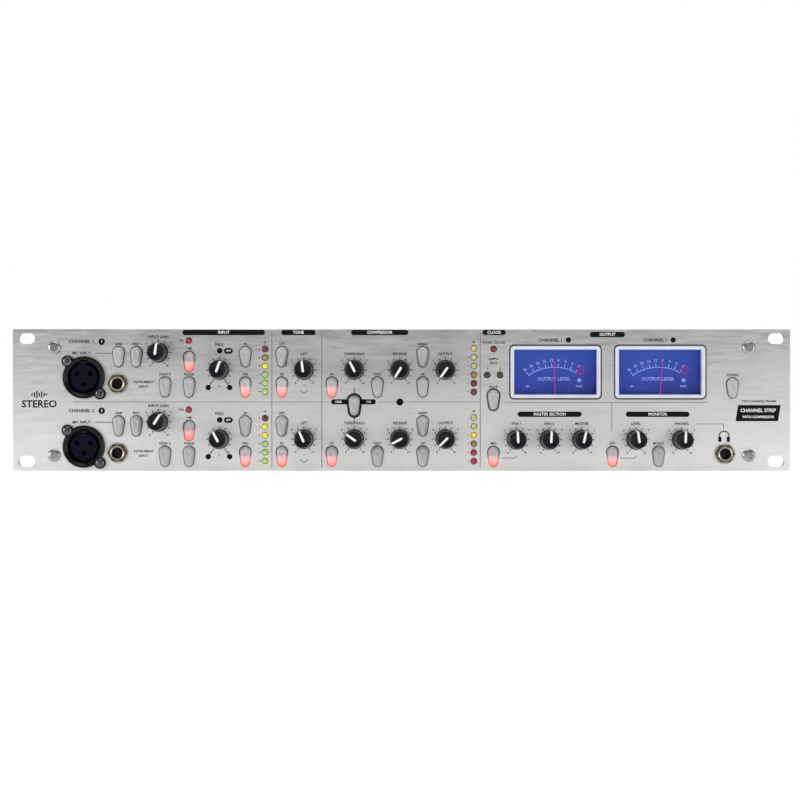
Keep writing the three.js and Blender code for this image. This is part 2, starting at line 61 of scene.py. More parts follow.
# ---- driving dimensions, as in the CAD
CHANNEL_DROP = 42.9
CHANNELS = (1, 2)
PANEL = dict(width=482.6, height=88.1, back=3.5, corner=1.5)
RACK_SLOT = dict(x=232.55, low=5.95, high=82.15, width=10.3, height=6.8, radius=3.39)
CHASSIS = dict(half=220.5, bottom=1, top=87, front=3.8, back=255.2, sheet=1.2, flange=9.5)
EGG = dict(width=7, height=12.4, taper=0.72)
SIDES = (-1, 1)
SCREW_HOLE = 1.9
SCREWS_AT = [(side * 215.5, z) for side in SIDES for z in (9.6, 76.4)]
XLR_HOLE = 12.15
XLR_EAR = 10.1
XLR_AT = [(-197, 58 - drop) for drop in (0, CHANNEL_DROP)]
JACK_HOLE = 4.8
JACKS_AT = [(-176, 54.2), (-176, 54.2 - CHANNEL_DROP), (200.6, 10.7)]
LEVEL_COLUMN = dict(x=-84.6, z=75.7, pitch=5.3, numbers=3.6, scale=("0", "-2", "-6", "-12", "-18", "-30"))
REDUCTION_COLUMN = dict(x=44.9, z=76, pitch=5.4, numbers=3.4, scale=("1", "3", "6", "9", "12", "18"))
METER = dict(z=61.4, width=56.6, height=33.2, window_width=51.1, window_height=28.7, dial=7)
REAR = dict(xlr=(-60, -104), jacks=(-138, -160, -182), low=22, high=44, inlet=180)
OPTION_SLOT = dict(x=65, z=55, width=70, height=18)
INK = 0.05  # how far printing stands off the metal
ON_INK = -2 * INK  # the depth of pale words printed over dark ink
CHANNEL_Z = 80.25
CHANNEL_DOT = -186
OFF_Z = 74.5
DIVIDER_Z = 42.9
KNOB_SWEEP = 300


def lower(z, channel):
    """The height of a channel 2 feature, from that of its twin in channel 1."""
    return z - (channel - 1) * CHANNEL_DROP


# ---- outlines, as functions of a margin
def circle(x, z, radius, sides=40):
    """Every outline here is a function that gives its points, grown by a margin."""
    def outline(margin=0):
        grown = radius + margin
        angles = [2 * math.pi * i / sides for i in range(sides)]
        return [(x + grown * math.cos(a), z + grown * math.sin(a)) for a in angles]
    return outline


def rounded(x, z, width, height, radius, per_corner=6):
    def outline(margin=0):
        points = []
        grown = max(radius + margin, 0.001)
        centres = ((1, -1), (1, 1), (-1, 1), (-1, -1))
        for corner, (sx, sz) in enumerate(centres):
            cx = x + sx * (width / 2 - radius)
            cz = z + sz * (height / 2 - radius)
            for i in range(per_corner + 1):
                angle = math.pi / 2 * (corner - 1 + i / per_corner)
                points.append((cx + grown * math.cos(angle), cz + grown * math.sin(angle)))
        return points
    return outline


def egg(x, z, grow=0, sides=20):
    """A wide round top and a narrower round bottom, joined by their tangents."""
    top = EGG["width"] / 2
    bottom = top * EGG["taper"]
    top_z = z + EGG["height"] / 2 - top
    bottom_z = z - EGG["height"] / 2 + bottom
    tilt = -math.asin((top - bottom) / (top_z - bottom_z))

    def outline(margin=0):
        points = []
        spans = ((top_z, top, tilt, math.pi - tilt), (bottom_z, bottom, math.pi - tilt, 2 * math.pi + tilt))
        for centre_z, radius, start, end in spans:
            for i in range(sides + 1):
                angle = start + (end - start) * i / sides
                reach = radius + grow + margin
                points.append((x + reach * math.cos(angle), centre_z + reach * math.sin(angle)))
        return points
    return outline


def arc_point(radius, degrees):
    """A point on a circle, at an angle from straight up."""
    angle = math.radians(degrees)
    return radius * math.sin(angle), radius * math.cos(angle)


def cross(x, z, length, width):
    """The plus-shaped recess of a cross-head screw."""
    def outline(margin=0):
        a, b = length / 2 + margin, width / 2 + margin
        quarter = [(a, -b), (a, b), (b, b)]
        points = []
        for turn in range(4):
            angle = turn * math.pi / 2
            ca, sa = round(math.cos(angle)), round(math.sin(angle))
            points += [(x + px * ca - pz * sa, z + px * sa + pz * ca) for px, pz in quarter]
        return points
    return outline


# ---- shapes
class Shape:
    """Closed bodies made of rings of points, in millimetres."""

    def __init__(self):
        self.points = []
        self.faces = []

    def loop(self, points):
        """Adds a ring of (x, depth, z) points, and gives their numbers."""
        start = len(self.points)
        self.points += points
        return list(range(start, len(self.points)))

    def ring(self, outline, depth):
        return self.loop([(x, depth, z) for x, z in outline])

    def bridge(self, first, second):
        count = len(first)
        for i in range(count):
            j = (i + 1) % count
            self.faces.append((first[i], first[j], second[j], second[i]))

    def skin(self, rings, ends="capped"):
        """Joins rings into a wall, its ends capped, closed onto each other, or left open."""
        for first, second in zip(rings, rings[1:]):
            self.bridge(first, second)
        if ends == "closed":
            self.bridge(rings[-1], rings[0])
        elif ends == "capped":
            self.faces += [tuple(rings[0]), tuple(rings[-1])]
        return self

    def loft(self, outline, steps, hollow=False):
        """Rings of one outline at [(depth, margin)]: capped at both ends, or closed back on itself."""
        rings = [self.ring(outline(margin), depth) for depth, margin in steps]
        return self.skin(rings, "closed" if hollow else "capped")

    def slab(self, outline, front, back, bevel=0.2):
        return self.loft(outline, [(front, -bevel), (front + bevel, 0), (back - bevel, 0), (back, -bevel)])

    def pierced(self, outline, holes, front, back, bevel=0.2, hole_bevel=None):
        """A plate with through holes, its edges and the holes' edges bevelled."""
        hole_bevel = bevel if hole_bevel is None else hole_bevel
        ends = {front: [], back: []}
        for shape, sign, edge in [(outline, -1, bevel)] + [(hole, 1, hole_bevel) for hole in holes]:
            steps = [(front, sign * edge), (front + edge, 0), (back - edge, 0), (back, sign * edge)]
            rings = [self.ring(shape(margin), depth) for depth, margin in steps]
            self.skin(rings, "open")
            ends[front].append(rings[0])
            ends[back].append(rings[-1])
        for loops in ends.values():
            flat = [index for loop in loops for index in loop]
            outlines = [[Vector((self.points[i][0], self.points[i][2], 0)) for i in loop] for loop in loops]
            self.faces += [tuple(flat[i] for i in triangle) for triangle in tessellate_polygon(outlines)]
        return self

    def block(self, low, high, bevel=0.3):
        """A box with chamfered edges, from its low and high corners (x, depth, z)."""
        x, z = (low[0] + high[0]) / 2, (low[2] + high[2]) / 2
        outline = rounded(x, z, high[0] - low[0], high[2] - low[2], bevel, 2)
        return self.slab(outline, low[1], high[1], bevel)

    def add(self, other, matrix=None):
        start = len(self.points)
        points = other.points if matrix is None else [tuple(matrix @ Vector(p)) for p in other.points]
        self.points += points
        self.faces += [tuple(start + i for i in face) for face in other.faces]
        return self

    def moved(self, matrix):
        return Shape().add(self, matrix)


def shift(x=0, depth=0, z=0):
    return Matrix.Translation((x, depth, z))


def turn(axis, degrees):
    return Matrix.Rotation(math.radians(degrees), 4, axis)


def to_rear(x, z=0):
    """Turns a piece made for the front round, to stand on the rear wall at (x, z)."""
    return shift(x, CHASSIS["back"], z) @ turn("Z", 180)


def mesh(name, shape, material, smooth=32):
    """A shape as Blender's mesh, in metres, with its finish on."""
    data = bpy.data.meshes.new(name)
    data.from_pydata([Vector(p) * MM for p in shape.points], [], shape.faces)
    work = bmesh.new()
    work.from_mesh(data)
    bmesh.ops.remove_doubles(work, verts=work.verts, dist=1e-7)
    bmesh.ops.recalc_face_normals(work, faces=work.faces)
    work.to_mesh(data)
    work.free()
    data.shade_smooth()
    data.set_sharp_from_angle(angle=math.radians(smooth))
    data.materials.append(material)
    return data


def placed(name, data, body, replaces=(), at=(0, 0, 0), degrees=0):
    """An object that rides on its body, its origin at (x, depth, z)."""
    made = bpy.data.objects.new(name, data)
    bpy.context.scene.collection.objects.link(made)
    made.location = Vector((at[0], at[1] + FRONT, at[2])) * MM
    made.rotation_euler.y = math.radians(degrees)
    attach(made, body)
    if replaces:
        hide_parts(*replaces)


def piece(name, shape, material, replaces=(), at=(0, 0, 0), smooth=32):
    """A one-off object on the unit's own body."""
    placed(name, mesh(name, shape, material, smooth), "root", replaces, at)


# ---- materials
class Finish:
    """A procedural material around one Principled shader."""

    def __init__(self, name, color, roughness, metallic=0.0, **inputs):
        self.material = bpy.data.materials.new(name)
        self.material.use_nodes = True
        self.nodes = self.material.node_tree.nodes
        self.links = self.material.node_tree.links
        self.shader = self.nodes["Principled BSDF"]
        self.color = color
        self.fill(self.shader, Base_Color=color, Roughness=roughness, Metallic=metallic, **inputs)
        self.coordinates = self.node("TexCoord").outputs["Object"]

    def put(self, socket, value):
        """Gives a socket a number, a colour, or another node's output."""
        if isinstance(value, bpy.types.NodeSocket):
            self.links.new(value, socket)
        elif socket.type == "RGBA":
            socket.default_value = (*value[:3], 1)
        else:
            socket.default_value = value

    def fill(self, node, **values):
        for label, value in values.items():
            self.put(node.inputs[label.replace("_", " ")], value)
        return node

    def node(self, kind, **values):
        return self.fill(self.nodes.new("ShaderNode" + kind), **values)

    def noise(self, scale, detail=4.0, stretch=(1, 1, 1), roughness=0.55, distortion=0.0):
        """Noise over the object, its scale in features per millimetre."""
        size = [s * scale / MM for s in stretch]
        mapping = self.node("Mapping", Scale=size, Vector=self.coordinates)
        texture = self.node("TexNoise", Scale=1.0, Detail=detail, Roughness=roughness, Distortion=distortion,
                            Vector=mapping.outputs["Vector"])
        return texture.outputs["Fac"]

    def ramp(self, source, stops):
        node = self.node("ValToRGB", Fac=source)
        while len(node.color_ramp.elements) < len(stops):
            node.color_ramp.elements.new(0.5)
        for element, (position, color) in zip(node.color_ramp.elements, stops):
            element.position = position
            element.color = (*color, 1)
        return node.outputs["Color"]

    def span(self, source, low, high, to_low, to_high):
        node = self.node("MapRange", From_Min=low, From_Max=high, To_Min=to_low, To_Max=to_high, Value=source)
        return node.outputs["Result"]

    def math(self, operation, first, second=0.0):
        node = self.node("Math")
        node.operation = operation
        for socket, value in zip(node.inputs, (first, second)):
            self.put(socket, value)
        return node.outputs["Value"]

    def total(self, *weighted):
        """Sources added up, each times its weight."""
        result = None
        for source, weight in weighted:
            part = self.math("MULTIPLY", source, weight)
            result = part if result is None else self.math("ADD", result, part)
        return result

    def mix(self, factor, first, second):
        node = self.node("Mix")
        node.data_type = "RGBA"
        for label, value in (("Factor", factor), ("A", first), ("B", second)):
            self.put(next(s for s in node.inputs if s.name == label and s.enabled), value)
        return next(s for s in node.outputs if s.name == "Result" and s.enabled)

    def axis(self, label):
        return self.node("SeparateXYZ", Vector=self.coordinates).outputs[label]

    def paint(self, color):
        self.fill(self.shader, Base_Color=color)

    def glow(self, color, strength):
        """One colour for both the surface and the light it gives off."""
        self.fill(self.shader, Base_Color=color, Emission_Color=color, Emission_Strength=strength)

    def rough(self, value):
        self.fill(self.shader, Roughness=value)

    def bump(self, height, strength, distance):
        """Bump whose height is a distance in millimetres."""
        node = self.node("Bump", Strength=strength, Distance=distance * MM, Height=height)
        self.fill(self.shader, Normal=node.outputs["Normal"])

    def scaled(self, factor):
        return tuple(min(1.0, channel * factor) for channel in self.color)


def grained(name, color, roughness, metallic=0.0, grain=2.0, vary=0.12, bump=0.02, **inputs):
    """A moulded, cast or painted finish: fine grain, broad tone changes, and uneven gloss."""
    cloud, rough_vary = 0.08, 0.08
    made = Finish(name, color, roughness, metallic, **inputs)
    fine = made.noise(grain, 3.0)
    broad = made.noise(cloud, 2.0)
    both = made.total((fine, 0.5), (broad, 0.5))
    tones = [(0.3, made.scaled(1 - vary)), (0.7, made.scaled(1 + vary))]
    made.paint(made.ramp(both, tones))
    made.rough(made.span(both, 0.3, 0.7, roughness - rough_vary, roughness + rough_vary))
    made.bump(fine, 0.6, bump)
    return made.material


def lit_print(name, color, roughness, vary, glow=None):
    """Paint on a dial that is lit from behind, with a weak glow; on the needle, which is no lamp, that glow
    is painted light from the meter's lamp.
    """
    return grained(name, color, roughness, vary=vary, bump=0.01, Emission_Color=glow or color,
                   Emission_Strength=0.15)


def panel_metal():
    """Pale aluminium with long wavy streaks across it, and painted shade that makes it a little darker
    towards its top edge.
    """
    made = Finish("panel_metal", (0.62, 0.625, 0.64), 0.42, 0.9)
    height = made.axis("Z")
    # painted shade: the metal is darkened towards its top edge, as the light falls on it
    fade = made.span(height, 0, PANEL["height"] * MM, 1.0, 0.0)
    streak = made.noise(0.05, 6.0, (1, 1, 9), 0.62, 0.6)
    hair = made.noise(0.35, 3.0, (0.25, 1, 16), 0.6)
    cloud = made.noise(0.012, 3.0, (1, 1, 2.4))
    swing = made.span(height, 0, PANEL["height"] * MM, 0.16, 0.5)
    wave = made.math("SUBTRACT", streak, 0.5)
    # the fade term adds the painted shade towards the top edge
    tone = made.total((wave, swing), (hair, 0.12), (cloud, 0.16), (fade, 0.5))
    stops = [(0.08, (0.37, 0.37, 0.38)), (0.22, (0.52, 0.52, 0.52)), (0.42, (0.65, 0.645, 0.64)),
             (0.7, (0.82, 0.81, 0.8))]
    made.paint(made.ramp(tone, stops))
    made.rough(made.span(streak, 0.3, 0.7, 0.36, 0.52))
    made.bump(made.total((hair, 0.5), (streak, 0.5)), 0.35, 0.05)
    return made.material


def lit_button():
    """Grey translucent plastic, with red light coming through its lower half."""
    made = Finish("lit_button_plastic", (0.5, 0.5, 0.52), 0.3, 0.0, Coat_Weight=0.3)
    height = made.axis("Z")
    mottle = made.noise(0.5, 2.0)
    glow = made.span(height, 0.7 * MM, -1.2 * MM, 0.0, 1.0)
    core = made.span(height, -2.2 * MM, -5.5 * MM, 0.0, 1.0)
    warm = made.mix(core, (0.95, 0.36, 0.36), (0.9, 0.2, 0.15))
    tint = made.mix(glow, (0.46, 0.46, 0.48), warm)
    made.paint(made.mix(made.span(mottle, 0.3, 0.7, 0.0, 0.25), tint, (0.6, 0.5, 0.5)))
    made.fill(made.shader, Emission_Color=warm, Emission_Strength=made.math("MULTIPLY", glow, 0.42))
    made.rough(made.span(mottle, 0.3, 0.7, 0.24, 0.38))
    made.bump(made.noise(2.2, 2.0), 0.3, 0.02)
    return made.material


def dial_blue():
    """A printed dial lit from behind: brighter at the top left, deeper towards the lower right."""
    made = Finish("dial_blue", (0.03, 0.06, 0.4), 0.5)
    half_width, half_height = METER["window_width"] / 2 * MM, METER["window_height"] / 2 * MM
    across = made.span(made.axis("X"), -half_width, half_width, 0.0, 1.0)
    down = made.span(made.axis("Z"), half_height, -half_height, 0.0, 1.0)
    away = made.total((across, 0.35), (down, 0.65))
    mottle = made.noise(0.25, 3.0)
    tone = made.total((away, 0.85), (mottle, 0.2))
    stops = [(0.1, (0.018, 0.065, 0.34)), (0.55, (0.013, 0.04, 0.3)), (1.0, (0.014, 0.012, 0.16))]
    made.glow(made.ramp(tone, stops), 0.4)
    made.bump(made.noise(3.0, 2.0), 0.2, 0.01)
    return made.material


def lamp(name, color, glow):
    """A diffused light lens, its colour and glow mottled."""
    made = Finish(name, color, 0.25, 0.0, Coat_Weight=0.4)
    mottle = made.noise(1.5, 2.0)
    made.glow(made.ramp(mottle, [(0.3, made.scaled(0.85)), (0.7, made.scaled(1.15))]), glow)
    made.bump(mottle, 0.3, 0.02)
    return made.material


def window_glass():
    made = Finish("window_acrylic", (0.97, 0.98, 1.0), 0.04, 0.0, Transmission_Weight=1.0, IOR=1.12)
    made.rough(made.span(made.noise(0.2, 2.0), 0.3, 0.7, 0.02, 0.07))
    made.bump(made.noise(0.08, 1.0), 0.1, 0.01)
    return made.material


def wound_tape():
    """Dark polyester tape wound round the ring, its overlaps running outwards from the middle."""
    made = Finish("wound_tape", (0.03, 0.035, 0.05), 0.4)
    overlaps = 46.0
    angle = made.math("ARCTAN2", made.axis("Y"), made.axis("X"))
    turns = made.math("SINE", made.math("MULTIPLY", angle, overlaps))
    wear = made.noise(0.4, 3.0)
    tone = made.math("ADD", made.math("MULTIPLY", turns, 0.25), wear)
    made.paint(made.ramp(tone, [(0.2, (0.012, 0.014, 0.02)), (0.8, (0.06, 0.07, 0.1))]))
    made.rough(made.span(wear, 0.3, 0.7, 0.3, 0.5))
    made.bump(turns, 0.5, 0.25)
    return made.material


PANEL_METAL = panel_metal()
CASE_PAINT = grained("case_paint", (0.022, 0.023, 0.025), 0.55, 0.1, grain=3.0, vary=0.25, bump=0.08)
KNOB_PLASTIC = grained("knob_plastic", (0.006, 0.006, 0.01), 0.36, grain=3.5, vary=0.3, bump=0.03,
                       Specular_IOR_Level=0.16)
POINTER_PAINT = grained("pointer_paint", (0.85, 0.85, 0.86), 0.35, vary=0.05, bump=0.01)
BUTTON_PLASTIC = grained("button_plastic", (0.42, 0.42, 0.43), 0.28, grain=1.5, vary=0.08, Coat_Weight=0.3)
LIT_BUTTON = lit_button()
SOCKET_PLASTIC = grained("socket_plastic", (0.003, 0.003, 0.005), 0.24, grain=2.5, vary=0.3,
                         Specular_IOR_Level=0.18)
SOCKET_INSERT = grained("socket_insert_plastic", (0.004, 0.004, 0.011), 0.4, grain=2.5, vary=0.25,
                        Specular_IOR_Level=0.06)
NICKEL = grained("nickel_plate", (0.45, 0.41, 0.34), 0.28, 1.0, grain=1.2, vary=0.25, bump=0.03)
NUT_BRONZE = grained("nut_bronze", (0.1, 0.085, 0.065), 0.34, 1.0, grain=1.5, vary=0.25, bump=0.03)
ZINC = grained("zinc_screw", (0.34, 0.34, 0.35), 0.3, 1.0, grain=1.5, vary=0.25, bump=0.03)
BLACK_ZINC = grained("black_screw", (0.12, 0.12, 0.13), 0.28, 0.9, grain=1.5, vary=0.3)
INK_BLACK = grained("ink_black", (0.006, 0.006, 0.007), 0.55, vary=0.35, bump=0.01,
                    Specular_IOR_Level=0.08)
INK_GREY = grained("ink_grey", (0.2, 0.2, 0.21), 0.55, vary=0.15, bump=0.01, Specular_IOR_Level=0.25)
INK_WHITE = grained("ink_white", (0.78, 0.78, 0.78), 0.45, vary=0.08, bump=0.01)
BEZEL_PLASTIC = grained("bezel_plastic", (0.66, 0.67, 0.74), 0.28, grain=1.5, vary=0.05, bump=0.01,
                        Coat_Weight=0.3)
DIAL_BLUE = dial_blue()
DIAL_PRINT = lit_print("dial_print", (0.3, 0.38, 0.8), 0.5, 0.06, (0.28, 0.35, 0.8))
DIAL_RED = lit_print("dial_red_print", (0.3, 0.02, 0.2), 0.5, 0.1)
# the needle glows with painted light: the meter lamp's light falling on it
NEEDLE_PAINT_AND_PAINTED_GLOW = lit_print("needle_paint_and_painted_glow", (0.45, 0.05, 0.3), 0.4, 0.1)
METER_CASE = grained("meter_case", (0.02, 0.02, 0.024), 0.5, vary=0.2, bump=0.03)
WINDOW = window_glass()
BOARD_GREEN = grained("board_green", (0.012, 0.09, 0.035), 0.38, grain=0.8, vary=0.35, bump=0.03)
CHIP_BLACK = grained("chip_black", (0.015, 0.015, 0.017), 0.5, grain=2.5, vary=0.2)
CAPACITOR = grained("capacitor_sleeve", (0.02, 0.03, 0.09), 0.35, grain=1.5, vary=0.15, bump=0.01)
TAPE = wound_tape()
LAMP_TONES = {
    "red": (0.3, 0.008, 0.03, 0.2), "dark_red": (0.13, 0.006, 0.012, 0.05), "olive": (0.26, 0.2, 0.03, 0.15),
    "yellow": (0.72, 0.55, 0.05, 0.3), "pale_yellow": (0.5, 0.44, 0.18, 0.15),
    "green": (0.36, 0.55, 0.13, 0.2), "dark_green": (0.012, 0.035, 0.025, 0.02),
}
LAMPS = {name: lamp(f"lamp_{name}", (r, g, b), glow) for name, (r, g, b, glow) in LAMP_TONES.items()}


# ---- lettering
def lettering(text, height, x, z, depth=-INK, thick=2 * INK):
    """Plain letters as thin solids facing the front, their middle at (x, z)."""
    capital_share, boldness = 0.7, 0.035
    curve = bpy.data.curves.new("lettering", "FONT")
    curve.body = text
    curve.size = height / capital_share
    curve.align_x = curve.align_y = "CENTER"
    curve.extrude = thick / 2
    curve.offset = boldness * height
    curve.resolution_u = 2
    holder = bpy.data.objects.new("lettering", curve)
    data = bpy.data.meshes.new_from_object(holder)
    made = Shape()
    made.points = [(x + v.co.x, depth + thick / 2 - v.co.z, z + v.co.y) for v in data.vertices]
    made.faces = [tuple(p.vertices) for p in data.polygons]
    bpy.data.objects.remove(holder)
    bpy.data.curves.remove(curve)
    bpy.data.meshes.remove(data)
    return made


def printed(outline, depth=-INK, thick=2 * INK):
    """A flat patch of printing."""
    return Shape().loft(outline, [(depth, 0), (depth + thick, 0)])


def stroke(x0, z0, x1, z1, width, *where):
    """A printed line between two points."""
    along = Vector((x1 - x0, z1 - z0))
    side = Vector((-along.y, along.x)).normalized() * width / 2
    corners = [(x0 + side.x, z0 + side.y), (x0 - side.x, z0 - side.y),
               (x1 - side.x, z1 - side.y), (x1 + side.x, z1 + side.y)]
    return printed(lambda margin: corners, *where)


def strokes(points, width):
    """A printed line through several points."""
    made = Shape()
    for (x0, z0), (x1, z1) in zip(points, points[1:]):
        made.add(stroke(x0, z0, x1, z1, width))
    return made


def disc(x, z, radius, *where):
    return printed(circle(x, z, radius, 28), *where)


def pill(x0, x1, z, height):
    return printed(rounded((x0 + x1) / 2, z, x1 - x0, height, height / 2 - 0.01))


def frame_line(outline, width, depth=-INK, thick=2 * INK):
    """A printed line that follows an outline, outside it."""
    back = depth + thick
    return Shape().loft(outline, [(depth, 0), (depth, width), (back, width), (back, 0)], hollow=True)


def written(rows, *where):
    """Several words, each as (text, height, x, z)."""
    made = Shape()
    for text, height, x, z in rows:
        made.add(lettering(text, height, x, z, *where))
    return made


# ---- where things are, from the frame
def centre(node):
    low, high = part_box(node)
    return (low.x + high.x) / 2 / MM, (low.z + high.z) / 2 / MM


def turning_place(node):
    """(x, z, angle at rest): the joint's stops lie equally far each side of straight up."""
    joint = JOINT_OF[node]
    x, _, z = joint["pos_m"]
    low, high = joint["range_deg"]
    return x / MM, z / MM, -(low + high) / 2


KNOBS = {node: turning_place(node) for node in KNOB_NODES}
BUTTONS = {node: centre(node) for node in BUTTON_NODES}
METERS = {side: centre(f"meter_{side}")[0] for side in ("left", "right")}


def lamps():
    """Every indicator light as (x, z, colour)."""
    level = {1: ["dark_red", "olive", "yellow", "green", "green", "green"],
             2: ["dark_red", "yellow", "yellow", "green", "green", "green"]}
    reduction = {1: ["pale_yellow", "pale_yellow", "pale_yellow", "olive", "dark_red", "dark_red"],
                 2: ["pale_yellow", "pale_yellow", "yellow", "olive", "red", "red"]}
    places = []
    for channel in CHANNELS:
        places.append((-132, lower(81, channel), "red"))
        for column, colours in ((LEVEL_COLUMN, level), (REDUCTION_COLUMN, reduction)):
            for row, colour in enumerate(colours[channel]):
                places.append((column["x"], lower(column["z"] - row * column["pitch"], channel), colour))
    places += [(57.2, 75.7, "dark_red"), (53.2, 59.6, "dark_green"), (61.2, 59.6, "dark_green")]
    return places


LIGHTS = lamps()


# ---- front panel
def front_panel():
    button_gap, meter_gap, light_hole, shaft_hole = 0.4, 0.8, 1.95, 3.8
    holes = [egg(x, z, button_gap) for x, z in BUTTONS.values()]
    slot = RACK_SLOT
    holes += [rounded(side * slot["x"], z, slot["width"], slot["height"], slot["radius"], 10)
              for side in SIDES for z in (slot["low"], slot["high"])]
    opening = (METER["width"] + meter_gap, METER["height"] + meter_gap)
    holes += [rounded(x, METER["z"], *opening, 3) for x in METERS.values()]
    holes += [circle(x, z, light_hole, 24) for x, z, _ in LIGHTS]
    holes += [circle(x, z, shaft_hole, 20) for x, z, _ in KNOBS.values()]
    holes += [circle(x, z, XLR_HOLE) for x, z in XLR_AT]
    holes += [circle(x, z, JACK_HOLE, 32) for x, z in JACKS_AT]
    holes += [circle(x, z, SCREW_HOLE, 16) for x, z in SCREWS_AT]
    outline = rounded(0, PANEL["height"] / 2, PANEL["width"], PANEL["height"], PANEL["corner"])
    plate = Shape().pierced(outline, holes, 0, PANEL["back"], 0.35, 0.2)
    piece("front_plate", plate, PANEL_METAL, replaces=["front_panel"])


def screw_head(radius, height, recess):
    """A domed cross-head screw, its head standing out from depth 0 towards the front."""
    foot = 3.0

    def at(share):
        return height * (share - 1)

    hole = cross(0, 0, recess, recess * 0.3)
    dome = [(at(share), -radius * inset) for share, inset in (
        (0.03, 0.4), (0.1, 0.3), (0.3, 0.12), (0.65, 0), (1, 0), (1, 0.6), (0.5, 0.6), (0.5, 0.42))]
    head = Shape().pierced(circle(0, 0, radius * 0.62, 32), [hole], at(0), at(0.42), 0.05, 0.16)
    head.loft(circle(0, 0, radius, 32), dome, hollow=True)
    head.loft(circle(0, 0, radius * 0.6, 20), [(at(0.38), 0), (at(0.6), 0)])
    return head.loft(circle(0, 0, radius * 0.45, 20), [(at(0.5), 0), (foot, 0)])


def screws(name, places, radius, height, recess, material, facing=None):
    """Equal screws at (x, depth, z), each turned by chance, facing the front unless told otherwise."""
    made = Shape()
    spin = random.Random(name)
    for place in places:
        head = screw_head(radius, height, recess).moved(turn("Y", spin.uniform(0, 90)))
        made.add(head, shift(*place) @ (facing or Matrix()))
    piece(name, made, material)


# ---- printing on the panel
KNOB_WORDS = {
    "input_gain": "INPUT GAIN", "high_pass": "FREQ", "air": "LIFT", "threshold": "THRESHOLD",
    "release": "RELEASE", "makeup_gain": "OUTPUT", "channel_1_pan": "PAN 1", "channel_2_pan": "PAN 2",
    "master_level": "MASTER", "monitor_level": "LEVEL", "headphone_level": "PHONES",
}
BUTTON_WORDS = {
    "line_input": "LINE", "instrument": "INST", "impedance": "HIGH Z", "phantom": "+48", "phase": "PHASE",
    "high_pass_in": "IN", "insert": "INS", "air_in": "LIFT", "filter": "IN", "compressor_in": "IN",
    "fast_attack": "FAST", "hard_ratio": "HARD", "treble": "HF", "sample_rate": "RATE", "monitor_mix": "MIX",
    "return": "RET", "mono": "MONO", "power": "POWER",
}
PILLS = [
    (-135.9, -84.7, 85.95, "INPUT"), (-74.6, -53.3, 85.95, "TONE"), (-31.3, 4.25, 85.95, "COMPRESSOR"),
    (50.2, 64.7, 85.95, "CLOCK"), (116.9, 138.7, 84.7, "OUTPUT"), (72.1, 111.8, 35.2, "MASTER SECTION"),
    (139.2, 178.7, 35.2, "MONITOR"),
]


def stem_word(node, words):
    """The word for a node such as threshold_knob_1."""
    name = node.replace("_knob", "|").replace("_button", "|").split("|")[0]
    return words.get(name, "")


def tick_marks():
    made = Shape()
    inner, outer, width = 6.75, 7.95, 0.55
    for x, z, _ in KNOBS.values():
        for step in range(11):
            dx, dz = arc_point(1, KNOB_SWEEP * (step / 10 - 0.5))
            made.add(stroke(x + inner * dx, z + inner * dz, x + outer * dx, z + outer * dz, width))
    return made


def scale_numbers():
    made = Shape()
    ends = ((-5.2, -8.1, "0"), (5.4, -8.1, "10"))
    thirds = ((-7.6, 5.7, "3"), (7.8, 5.7, "7"))
    for node, (x, z, _) in KNOBS.items():
        numbers = ends if "high_pass" in node else ends + thirds
        made.add(written([(text, 1.3, x + dx, z + dz) for dx, dz, text in numbers]))
    return made


def control_words():
    """The word over each control. The high-pass knobs' word stands higher, over their marks."""
    made = Shape()
    over_button, over_knob, over_marks = 7.9, 9.9, 15.7
    for node, (x, z, _) in KNOBS.items():
        raised = over_marks if "high_pass" in node else over_knob
        made.add(lettering(stem_word(node, KNOB_WORDS), 1.6, x, z + raised))
    for node, (x, z) in BUTTONS.items():
        word = stem_word(node, BUTTON_WORDS)
        if word:
            made.add(lettering(word, 1.5, x, z + over_button))
    return made


def channel_print():
    """The words, dots and small drawings that both channels share, drawn for channel 1."""
    made = written([
        ("MIC INPUT", 1.65, -198.5, 73.1), ("INSTRUMENT", 1.45, -160, 55.1), ("INPUT", 1.45, -160, 52.3),
        ("O/L", 1.5, -136.6, 81), ("12", 1.1, -113.2, 52.6), ("15", 1.0, -60.2, 53.2),
        ("dB", 1.1, LEVEL_COLUMN["x"], 79.9), ("dB", 1.1, REDUCTION_COLUMN["x"], 80)])
    for column in (LEVEL_COLUMN, REDUCTION_COLUMN):
        x = column["x"] - column["numbers"]
        rows = enumerate(column["scale"])
        made.add(written([(text, 0.95, x, column["z"] - column["pitch"] * row) for row, text in rows]))
    made.add(disc(CHANNEL_DOT, CHANNEL_Z, 2.05)).add(disc(-112.8, 74.6, 1.75))
    made.add(pill(-110.2, -104.6, OFF_Z, 3.6))
    for x, end in ((-119.9, -116.4), (-106.6, -109.8)):
        made.add(disc(x, 51.8, 1.7)).add(stroke(x, 51.8, end, 56.8, 0.4))
    return made.add(strokes([(-62.6 + 0.6 * i, 48.2 + 1.9 * ((i - 3.5) / 3.5) ** 2) for i in range(8)], 0.4))


def link_print():
    """The thick outline round the link button, with its bars, stems and dot."""
    x, z = BUTTONS["stereo_link_button"]
    made = frame_line(egg(x, z, 0.55), 0.95)
    made.add(pill(-43.7, x - 3.6, DIVIDER_Z, 3.2)).add(pill(x + 3.6, -15.85, DIVIDER_Z, 3.2))
    made.add(stroke(x, z + 7, x, 51.5, 0.55)).add(stroke(x, z - 7, x, 30.2, 0.55))
    return made.add(disc(-1, 42.8, 2.2))


